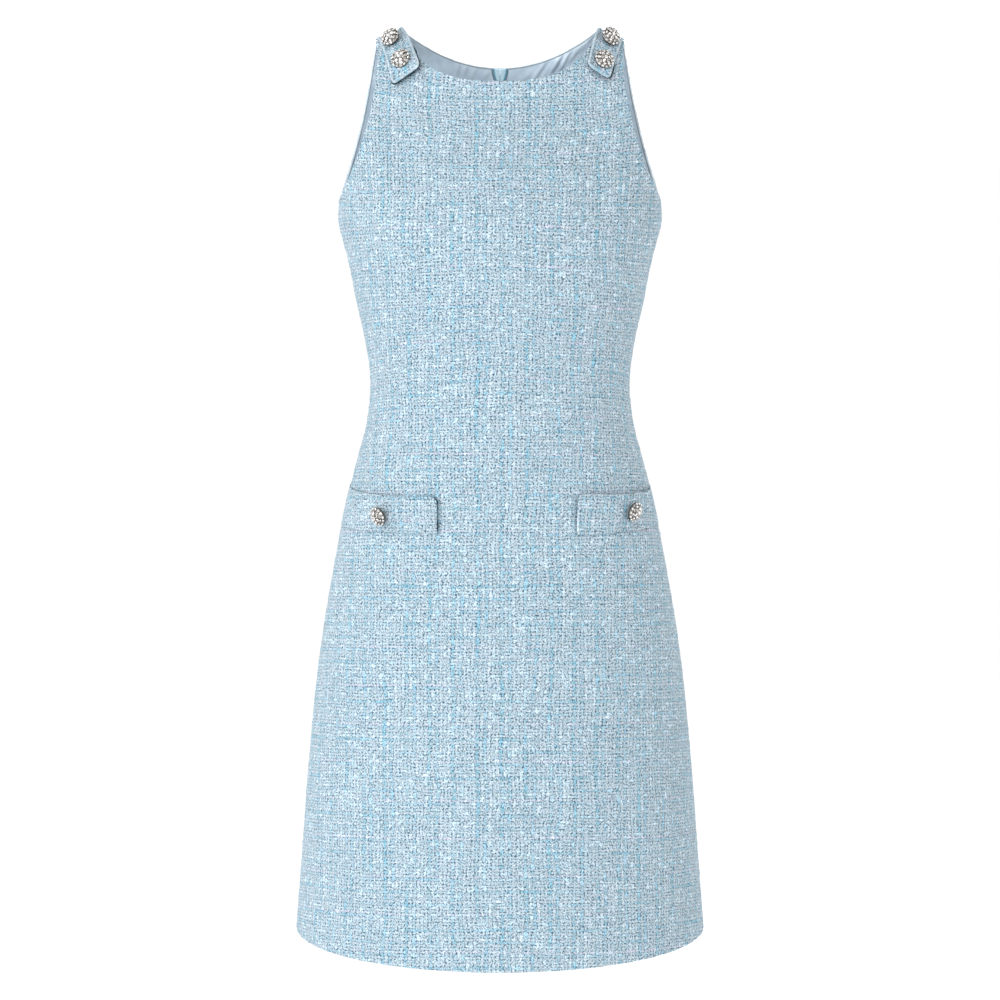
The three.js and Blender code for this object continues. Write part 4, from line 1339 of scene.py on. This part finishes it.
class DRESS_OT_zip(bpy.types.Operator):
    """Makes the zip tapes and teeth, and finishes the slider and its pull"""

    bl_idname = "dress.zip"
    bl_label = "Back Zip"

    def execute(self, context):
        cloth, trims = context.scene.dress_cloth, context.scene.dress_trims
        tape = finish_of(woven_tape, cloth)
        outside = -cloth.tweed_wall / MM - SEAM_GAP
        inside = outside - cloth.lining_wall / MM
        shares = crowded(TAPE_STEPS["across"], ZIP["tape_wide"], at_start=True, at_end=True)
        for word, hand in HANDS.items():
            grid = section_grid(
                BACK, np.full(len(shares), hand), shares, TAPE_STEPS, from_centre_back,
                tape_edge_angle, ZIP["tape_bottom"],
            )
            across = running(grid.at, 1)
            from_selvedge = across[:, -1:] - across
            grid.sewn = np.full_like(grid.sewn, np.inf)
            grid.free = np.minimum(grid.free, np.minimum(across, from_selvedge))
            outer, inner = wall(grid, outside, inside)
            # The mark paints shade along the tape's outer edge, beside the lining.
            piece = cloth_piece(
                f"zip_tape_{word}_woven", grid, outer, inner, [tape],
                selvedge=1 - smoothstep(*ZIP["selvedge"], from_selvedge),
            )
            settle(piece, "zip_tape", f"zip_tape_{word}")
        self.add_teeth(cloth, inside)
        self.finish_metal(trims)
        return {"FINISHED"}

    def add_teeth(self, cloth, inside):
        """Two rows of coiled teeth on the inner face of the tapes, each reaching past the middle."""
        nylon = finish_of(nylon_teeth, cloth)
        level = inside - ZIP["tooth_radius"] * ZIP["tooth_off"]
        for word, hand in HANDS.items():
            shift = 0 if hand == LEFT else ZIP["tooth_pitch"] / 2
            z = np.arange(ZIP["teeth_top"] - shift, ZIP["teeth_bottom"], -ZIP["tooth_pitch"])
            x = np.zeros_like(z)
            at = np.stack([x, surface_y(BACK, x, z), z], -1) + form_normals(BACK, x, z) * level
            outward = np.array([hand, 0, 0])
            over, reach = outward * ZIP["tooth_over"], outward * ZIP["tooth_reach"]
            teeth = [round_ended_rod(p - over, p + reach, ZIP["tooth_radius"]) for p in at]
            piece = make_piece(f"zip_teeth_{word}", *joined(teeth), [nylon])
            settle(piece, "zip_tape")

    def finish_metal(self, trims):
        """Rounds the slider's and pull's edges and enamels them."""
        for name in ("zip_slider", "zip_pull_tab"):
            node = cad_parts[name]
            node.data.materials.clear()
            node.data.materials.append(finish_of(enamelled_zinc, trims))
            weld = node.modifiers.new("weld", "WELD")
            weld.merge_threshold = METAL_EDGE["weld"] * MM
            bevel = node.modifiers.new("round_edges", "BEVEL")
            bevel.width = METAL_EDGE["round"] * MM
            bevel.segments = METAL_EDGE["segments"]
            bevel.limit_method = "ANGLE"
            bevel.angle_limit = math.radians(METAL_EDGE["sharp"])


# ---------------------------------------------------------------- shoulder tabs and pocket welts


def over_shoulder(x, rolled):
    """A point of the front reached over the shoulder: x, and the run down from the ridge."""
    radius = SHOULDER["roll_drop"]
    quarter = radius * math.pi / 2
    turned = radius * (1 - np.cos(np.minimum(rolled, quarter) / radius))
    drop = turned + np.maximum(0, rolled - quarter)
    z = ridge_z(x) - drop
    y = np.minimum(-HALF_SEAM, surface_y(FRONT, x, z))
    return np.stack([x + 0 * z, y, z], -1)


def tab_middle_x(tab, run):
    """Place across of a tab's middle line, which leans in from the middle of the shoulder."""
    middle = (SHOULDER["neck_x"] + SHOULDER["tip_x"]) / 2
    return tab["hand"] * (middle - tab["lean"] * run)


def tab_outward(tab, across):
    """Share of a tab's width: 0 at its edge next to the neck, 1 at its edge next to the arm."""
    return (1 + tab["hand"] * across * 2 / TAB["width"]) / 2


def tab_line(tab, reach):
    """Cloth runs along a tab's middle line, and the rolled distances that they come to."""
    run, rolled, x = [0.0], [0.0], tab_middle_x(tab, 0)
    while run[-1] < reach:
        before = over_shoulder(np.array(x), np.array(rolled[-1]))
        rolled.append(rolled[-1] + TAB["trace"])
        for _ in range(TRACE_PASSES):
            after = over_shoulder(np.array(x), np.array(rolled[-1]))
            length = run[-1] + float(np.linalg.norm(after - before))
            x = tab_middle_x(tab, length)
        run.append(length)
    return np.array(run), np.array(rolled)


def trim_frame(point_at, across, along, outward):
    """Points of a trim's bed and their normals, from a function of two distances."""
    at = point_at(across, along)
    right = point_at(across + PROBE, along) - point_at(across - PROBE, along)
    down = point_at(across, along + PROBE) - point_at(across, np.maximum(0, along - PROBE))
    normal = np.cross(right, down)
    normal *= np.where((normal * outward).sum(-1, keepdims=True) < 0, -1, 1)
    return at, unit(normal)


def round_box(across, along, half_width, length, corner):
    """Distance inward from the edge of a strip whose two far corners are rounded."""
    dx = half_width - np.abs(across)
    dy = length - along
    in_corner = (dx < corner) & (dy < corner)
    corner_inset = corner - np.hypot(np.maximum(corner - dx, 0), np.maximum(corner - dy, 0))
    return np.maximum(np.where(in_corner, corner_inset, np.minimum(dx, dy)), 0)


def edge_relief(inset):
    """Height of a trim's face over its edge allowance."""
    ridge = np.exp(-(((inset - TRIM_EDGE["ridge_at"]) / TRIM_EDGE["width"]) ** 2))
    groove = np.exp(-(((inset - TRIM_EDGE["groove_at"]) / TRIM_EDGE["width"]) ** 2))
    return TRIM_EDGE["ridge"] * ridge - TRIM_EDGE["groove"] * groove


def trim_wall(grid, face, bed, thickness, rng):
    """Both faces of a trim: its knotted face, and its facing on the bed."""
    return wall(grid, face, bed, thickness, knotted(grid, rng, KNOTS["trim_edge"]))


def lay_trim(name, grid, outer, inner, cloth, **marks):
    """Makes a faced tweed trim and lays it on the front."""
    finishes = [finish_of(boucle_tweed, cloth), finish_of(facing_lawn, cloth)]
    piece = cloth_piece(f"{name}_tweed", grid, outer, inner, finishes, lined_edges=True, **marks)
    settle_sheet(piece, grid, "tweed", name, held="laid", rests_on=["front_tweed"])


class DRESS_OT_tabs(bpy.types.Operator):
    """Makes the two shoulder tabs, sewn into the shoulder seams and lifting at their ends"""

    bl_idname = "dress.tabs"
    bl_label = "Shoulder Tabs"

    def execute(self, context):
        cloth = context.scene.dress_cloth
        thickness = cloth.tweed_wall / MM
        rng = np.random.default_rng(SEEDS["tabs"])
        for name, tab in TABS.items():
            length, corner = tab["length"], TAB["corner"]
            run, rolled = tab_line(tab, length + tab["slant"] + TAB["spare"])
            along = length * crowded(TAB_STEPS["along"], length, at_end=True)[:, None]
            past = np.clip(along - (length - corner), 0, corner)
            half = TAB["width"] / 2 - (corner - np.sqrt(corner**2 - past**2))
            columns = crowded(TAB_STEPS["across"], TAB["width"], at_start=True, at_end=True)
            across = half * (2 * columns - 1)
            along = along + 0 * across

            def point_at(dx, run_at):
                slewed = tab_outward(tab, dx) * (run_at / length) ** 2
                run_at = run_at + tab["slant"] * slewed
                x = tab_middle_x(tab, run_at) + dx + tab["hand"] * tab["flare"] * slewed
                return over_shoulder(x, np.interp(run_at, run, rolled))

            at, normal = trim_frame(point_at, across, along, np.array([0, -1, 1]))
            normal[0, :, 1] = 0
            inset = round_box(across, along, TAB["width"] / 2, length, corner)
            grain = np.stack([across * tab["hand"], -along], -1) + TAB["grain"]
            grid = Grid(at, unit(normal), grain, inset, along)
            outward = tab_outward(tab, across)
            rise = smoothstep(TAB["lift_from"], length, along)
            lift = TRIM_GAP + tab["lift"] * rise + tab["curl"] * rise * (1 - outward)
            face = lift + thickness + edge_relief(inset)
            outer, inner = trim_wall(grid, face, lift, thickness, rng)

            # The dark facing shows past the tab's sides and, beyond its corners, past its end, as a
            # painted shadow line.
            turn = past / corner
            past_side = tab["neck_side"] + (tab["arm_side"] - tab["neck_side"]) * outward
            shown = past_side * (1 - turn) + tab["end"] * turn
            shown *= smoothstep(TAB["line_from"], TAB["line_from"] + TAB["line_fade"], along)
            shown *= 1 + TAB["line_uneven"] * lumps(grain, KNOTS["spacing"], rng)
            shown[:-1, 1:-1] = 0
            side = np.sign(across) * np.sqrt(1 - turn**2)
            inner += point_at(across + side * shown, along + turn * shown) - at
            pressed = 1 - smoothstep(*TAB["pressed"], inset)
            lay_trim(name, grid, outer, inner, cloth, pressed=pressed)
        return {"FINISHED"}


class DRESS_OT_welts(bpy.types.Operator):
    """Makes the two pocket welts, sewn down below and standing off a little along the top"""

    bl_idname = "dress.welts"
    bl_label = "Pocket Welts"

    def execute(self, context):
        cloth = context.scene.dress_cloth
        thickness = cloth.tweed_wall / MM
        rng = np.random.default_rng(SEEDS["welts"])
        for name, welt in WELTS.items():
            share = crowded(WELT_STEPS["along"], WELT["long"], at_start=True, at_end=True)[None, :]
            down = crowded(WELT_STEPS["down"], WELT["deep"], at_start=True, at_end=True)[:, None]
            deep = welt["inner_deep"] + (welt["outer_deep"] - welt["inner_deep"]) * share
            bow = welt["rise"] * (1 - share) ** 2 - 4 * welt["sag"] * share * (1 - share)
            from_top = (deep + bow) * down
            z = WELT["top"] + bow - from_top
            half = read(LEVELS, "half", z)
            past = np.maximum(0, WELT["corner"] - from_top)
            tuck = WELT["corner"] - np.sqrt(WELT["corner"] ** 2 - past**2)
            start = np.arcsin((welt["inner"] + tuck) / half)
            end = math.pi / 2 - WELT["seam_reach"] / read(LEVELS, "front", z)
            x = welt["hand"] * half * np.sin(start + (end - start) * share)
            at = np.stack([x, surface_y(FRONT, x, z), z], -1)
            normal = form_normals(FRONT, x, z)
            across, fall = running(at, 1), running(at, 0)
            free = np.minimum(across, np.minimum(fall, fall[-1:] - fall))
            grain = GRAIN[FRONT].read(x, z) + WELT["grain"]
            grid = Grid(at, normal, grain, free, np.full(free.shape, np.inf))

            to_seam = across[:, -1:] - across
            inner_end = 1 - smoothstep(0, WELT["end_reach"], across)
            near_seam = 1 - smoothstep(WELT["seam_flat"], WELT["seam_taper"], to_seam)
            stand = WELT["lift"] * (1 - down) ** WELT["lift_power"] * (1 - near_seam)
            lift = TRIM_GAP * (1 - near_seam / 2) + welt["top_lift"] * stand
            lift += welt["end_lift"] * inner_end - seam_roll(to_seam + WELT["seam_reach"])
            relief = edge_relief(free) * (1 - near_seam)
            face = lift + thickness + relief - WELT["seam_sink"] * near_seam
            outer, inner = trim_wall(grid, face, lift, thickness, rng)
            # Where the welt sinks into the side seam it stays thin, with its facing underneath.
            up = ((outer - at) * normal).sum(-1)
            under = ((inner - at) * normal).sum(-1)
            kept_up = np.maximum(up, lift + WELT["thinnest"])
            kept_under = np.minimum(under, kept_up - WELT["facing_under"])
            outer += normal * (kept_up - up)[..., None]
            inner += normal * (kept_under - under)[..., None]

            # The dark facing shows past the inner end and the top as a ragged painted shadow line.
            uneven = RAGGED["mean"] + RAGGED["swing"] * lumps(grain, KNOTS["spacing"], rng)
            ragged = np.clip(uneven, 0, RAGGED["most"])
            end_line = (welt["end_line"] * ragged)[:, 0, None]
            inner[:, 0] -= unit(np.gradient(at, axis=1))[:, 0] * end_line
            fading = smoothstep(welt["line_from"], welt["line_from"] + WELT["line_fade"], share)
            top_line = welt["top_line"] * ragged * (1 - near_seam) * fading
            inner[0] -= unit(np.gradient(at, axis=0))[0] * top_line[0, :, None]
            lay_trim(name, grid, outer, inner, cloth)
        return {"FINISHED"}


# ---------------------------------------------------------------- buttons


# Stones on a button's dome: how many, how far out, their half length and half width, and how far
# round the ring starts.
STONES = (
    {"count": 1, "at": 0.0, "long": 2.1, "wide": 2.1, "sides": 6, "turn": 0.0},
    {"count": 6, "at": 3.9, "long": 2.0, "wide": 1.6, "sides": 6, "turn": 0.3},
    {"count": 9, "at": 6.2, "long": 1.35, "wide": 1.4, "sides": 5, "turn": 0.93},
    {"count": 14, "at": 8.15, "long": 1.3, "wide": 1.35, "sides": 5, "turn": 0.15},
)
# Rings of a stone's corners, from its girdle to its table: size, height, and turn in corners.
STONE_CUT = ((1.0, 0.35, 0.0), (0.86, 0.75, 0.5), (0.5, 1.12, 0.0))
STONE = {"smallest": 0.94, "largest": 1.05, "tilt": 0.08, "point": 0.5}
CLAW = {"radius": 0.42, "aside": 0.95, "up": 0.55, "uneven": 0.2}
RIM_BEADS = {"count": 26, "radius": 0.5, "at": 0.955, "up": 2.35}
DOME = {"top": 6.6, "rim": 2.4, "round": 2.2}
# Profile of the cup's side, as shares of the rim's radius and heights.
CUP_SIDE = ((0.62, 0), (0.72, 0.2), (0.93, 0.75), (0.985, 1.1), (1, 1.7), (0.995, 2.1))
DOME_EDGE = 0.985
CUP_STEPS = {"dome": 16, "around": 48}
SHANK = {"radius": 1.5, "reach": 1.9, "top": -0.1}
# Share of the rim's radius at which a button tips on the cloth.
PIVOT = 0.74
# The painted shade of the metal: how deep a pit darkens fully, how dark it gets, and below which height
# the cup is painted fully dark.
PIT = {"deep": 0.6, "shade": 0.5, "cup_top": 1.9}
# Shape of the random draw that sets each facet's painted glint, a painted reflection.
GLINT = (0.72, 0.6)
DOME_PROBE = 0.05


def dome_height(radius, rim_radius):
    """Height of the metal dome under the stones."""
    out = np.minimum(1, radius / rim_radius)
    return DOME["rim"] + (DOME["top"] - DOME["rim"]) * (1 - out ** DOME["round"])


def dome_frame(angle, radius, rim_radius):
    """Place on the dome, and axes outward along it, sideways, and off it."""
    low, high = max(radius - DOME_PROBE, 0), radius + DOME_PROBE
    rise = dome_height(high, rim_radius) - dome_height(low, rim_radius)
    out = circle(angle)
    along = unit(out + [0, 0, rise / (high - low)]) if radius else out
    sideways = np.array([-out[1], out[0], 0])
    place = out * radius + [0, 0, dome_height(radius, rim_radius)]
    return place, along, sideways, np.cross(along, sideways)


def cut_stone(place, along, sideways, up, stone, rng):
    """A faceted stone: girdle, two rings of crown facets, a table, and a point below."""
    sides = stone["sides"]
    scale = rng.uniform(STONE["smallest"], STONE["largest"])
    tilt = rng.normal(0, STONE["tilt"], 2)
    points = []
    for reach, height, offset in STONE_CUT:
        for x, y, z in circle(2 * math.pi * (np.arange(sides) + offset) / sides, reach, height):
            dx, dy = x * stone["long"] * scale, y * stone["wide"] * scale
            rise = z + tilt[0] * dx + tilt[1] * dy
            points.append(place + along * dx + sideways * dy + up * rise)
    points.append(place - up * STONE["point"])
    faces = []
    for k in range(sides):
        n = (k + 1) % sides
        girdle, crown, table = (k, n), (sides + k, sides + n), (2 * sides + k, 2 * sides + n)
        faces.append((girdle[0], girdle[1], crown[0]))
        faces.append((girdle[1], crown[1], crown[0]))
        faces.append((crown[0], table[1], table[0]))
        faces.append((crown[0], crown[1], table[1]))
        faces.append((girdle[1], girdle[0], len(points) - 1))
    faces.append(tuple(range(2 * sides, 3 * sides)))
    return np.array(points), faces


def bead(place, radius, rings=4, sides=8):
    """A small ball."""
    turns = math.pi * np.arange(rings + 1) / rings
    profile = np.stack([radius * np.sin(turns), -radius * np.cos(turns)], -1)
    points, faces = turned_shell(profile, sides)
    return points + place, faces


def button_cup(rim_radius, droop):
    """The metal cup as a turned shell, from the middle of its foot round to the top of its dome."""
    reach = SHANK["reach"] + rim_radius * PIVOT * math.sin(math.radians(droop))
    profile = [(0, -reach), (SHANK["radius"], -reach), (SHANK["radius"], SHANK["top"])]
    profile += [(rim_radius * share, height) for share, height in CUP_SIDE]
    for share in np.linspace(DOME_EDGE, 0, CUP_STEPS["dome"]):
        profile.append((rim_radius * share, dome_height(rim_radius * share, rim_radius)))
    return turned_shell(profile, CUP_STEPS["around"])


def button_parts(rim_radius, droop, rng):
    """The metal and the stones of one button, standing on z = 0 in its own axes."""
    metal, stones = [button_cup(rim_radius, droop)], []
    for ring in STONES:
        for k in range(ring["count"]):
            angle = ring["turn"] + 2 * math.pi * k / ring["count"]
            place, along, sideways, up = dome_frame(angle, ring["at"], rim_radius)
            stones.append(cut_stone(place, along, sideways, up, ring, rng))
            for side in (-1, 1):
                claw = place + sideways * side * ring["wide"] * CLAW["aside"] + up * CLAW["up"]
                metal.append(bead(claw + along * rng.normal(0, CLAW["uneven"]), CLAW["radius"]))
    angles = 2 * math.pi * np.arange(RIM_BEADS["count"]) / RIM_BEADS["count"]
    for place in circle(angles, rim_radius * RIM_BEADS["at"], RIM_BEADS["up"]):
        metal.append(bead(place, RIM_BEADS["radius"]))
    return joined(metal), joined(stones)


# Every button faces forward and up.
SEAT_FACES = (0, -1, 0.5)


def seat_of(node_name):
    """Where a button's CAD node stands: the middle of its foot, and the direction of its axis."""
    points = np.array([v.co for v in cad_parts[node_name].data.vertices], float)
    points = np.unique(points.round(6), axis=0)
    middle = points.mean(0)
    spread, axes = np.linalg.eigh(np.cov((points - middle).T))
    odd = 0 if spread[1] - spread[0] > spread[2] - spread[1] else 2
    axis = axes[:, odd]
    axis = axis if np.dot(axis, SEAT_FACES) > 0 else -axis
    foot = ((points - middle) @ axis).min()
    return Vector(middle + axis * foot), Vector(axis)


# How far each button is turned about its own axis, how far it hangs forward and leans away from
# the centre line, all in degrees, and how far its thread lets it slip down and outward, in mm.
BUTTON_SET = {
    "shoulder_tab_right_button_top": (10, 14, 0, 2.8, 0),
    "shoulder_tab_right_button_low": (47, 5, 0, 2.7, 0),
    "shoulder_tab_left_button_top": (101, 18, 0, 0, 0),
    "shoulder_tab_left_button_low": (158, 5, 0, -0.4, -0.9),
    "pocket_welt_right_button": (203, 24, 9, -1.2, -2.2),
    "pocket_welt_left_button": (296, 21, 7, -3.2, -3.9),
}


def hanging(axis, droop, lean, slip_down, slip_out, foot_radius):
    """Turns a button's own axes to its seat, tipped down and out over the edge of its foot."""
    down = (Vector((0, 0, -1)) - axis * -axis.z).normalized()
    outward = Vector((math.copysign(1, axis.x), 0, 0))
    outward = (outward - axis * axis.dot(outward)).normalized()
    slip = (down * slip_down + outward * slip_out) * MM
    down = (down * droop + outward * lean).normalized()
    tip = Matrix.Rotation(math.radians(math.hypot(droop, lean)), 4, axis.cross(down))
    edge = down * foot_radius * MM
    seated = axis.to_track_quat("Z", "Y").to_matrix().to_4x4()
    return Matrix.Translation(slip + edge) @ tip @ Matrix.Translation(-edge) @ seated


def pit_shade(points, rim_radius):
    """How dark each point of the metal is painted: painted shade down between the stones, and full
    painted shade on the cup's lower side and shank.
    """
    over = points[:, 2] - dome_height(np.hypot(points[:, 0], points[:, 1]), rim_radius)
    shade = np.clip(1 - over / PIT["deep"], 0, 1) * PIT["shade"]
    return np.where(points[:, 2] < PIT["cup_top"], 1, shade)


class DRESS_OT_buttons(bpy.types.Operator):
    """Makes the six domed buttons, each a nickel plated cup with claws and cut crystals"""

    bl_idname = "dress.buttons"
    bl_label = "Crystal Buttons"

    def execute(self, context):
        trims = context.scene.dress_trims
        nickel = finish_of(nickel_plate, trims)
        crystal = finish_of(foiled_crystal, trims)
        rim_radius = trims.button_radius / MM
        for number, (name, (turn, droop, lean, *slip)) in enumerate(BUTTON_SET.items()):
            rng = np.random.default_rng(SEEDS["buttons"] + number)
            metal, stones = button_parts(rim_radius, droop, rng)
            cup = make_piece(f"{name}_cup", *metal, [nickel])
            mark(cup, "depth", pit_shade(metal[0], rim_radius))
            gems = make_piece(f"{name}_crystals", *stones, [crystal], smooth=False)
            # Each facet gets a random painted glint: a painted reflection.
            mark(gems, "glint", rng.beta(*GLINT, len(gems.data.polygons)), "FACE")
            foot, axis = seat_of(name)
            place = Matrix.Translation(foot) @ hanging(axis, droop, lean, *slip, rim_radius * PIVOT)
            place = place @ Matrix.Rotation(math.radians(turn), 4, "Z")
            for piece in (cup, gems):
                piece.data.transform(place)
            settle(cup, "button_metal", name)
            settle(gems, "crystal")
        return {"FINISHED"}


# ---------------------------------------------------------------- panel and running


class DRESS_PT_tools(bpy.types.Panel):
    """Sizes, colours and makers of the dress"""

    bl_label = "Tweed Dress"
    bl_idname = "DRESS_PT_tools"
    bl_space_type = "VIEW_3D"
    bl_region_type = "UI"
    bl_category = "Dress"

    def draw(self, context):
        scene = context.scene
        for settings in (scene.dress_stage, scene.dress_cloth, scene.dress_trims):
            box = self.layout.box()
            for name in settings.bl_rna.properties.keys():
                if name not in ("rna_type", "name"):
                    box.prop(settings, name)
        for operator in OPERATORS:
            self.layout.operator(operator.bl_idname)


OPERATORS = (
    DRESS_OT_stage,
    DRESS_OT_panels,
    DRESS_OT_linings,
    DRESS_OT_zip,
    DRESS_OT_tabs,
    DRESS_OT_welts,
    DRESS_OT_buttons,
)
SETTINGS = {"dress_cloth": DressCloth, "dress_trims": DressTrims, "dress_stage": DressStage}


def register():
    """Registers the settings, the operators and the panel."""
    for group in SETTINGS.values():
        bpy.utils.register_class(group)
    for name, group in SETTINGS.items():
        setattr(bpy.types.Scene, name, bpy.props.PointerProperty(type=group))
    for operator in OPERATORS:
        bpy.utils.register_class(operator)
    bpy.utils.register_class(DRESS_PT_tools)


def unregister():
    """Takes them out again."""
    bpy.utils.unregister_class(DRESS_PT_tools)
    for operator in reversed(OPERATORS):
        bpy.utils.unregister_class(operator)
    for name, group in reversed(SETTINGS.items()):
        delattr(bpy.types.Scene, name)
        bpy.utils.unregister_class(group)


def main():
    """Builds the whole dress."""
    register()
    bpy.ops.dress.stage()
    bpy.ops.dress.panels()
    bpy.ops.dress.linings()
    bpy.ops.dress.zip()
    bpy.ops.dress.tabs()
    bpy.ops.dress.welts()
    bpy.ops.dress.buttons()


if __name__ == "__main__":
    main()
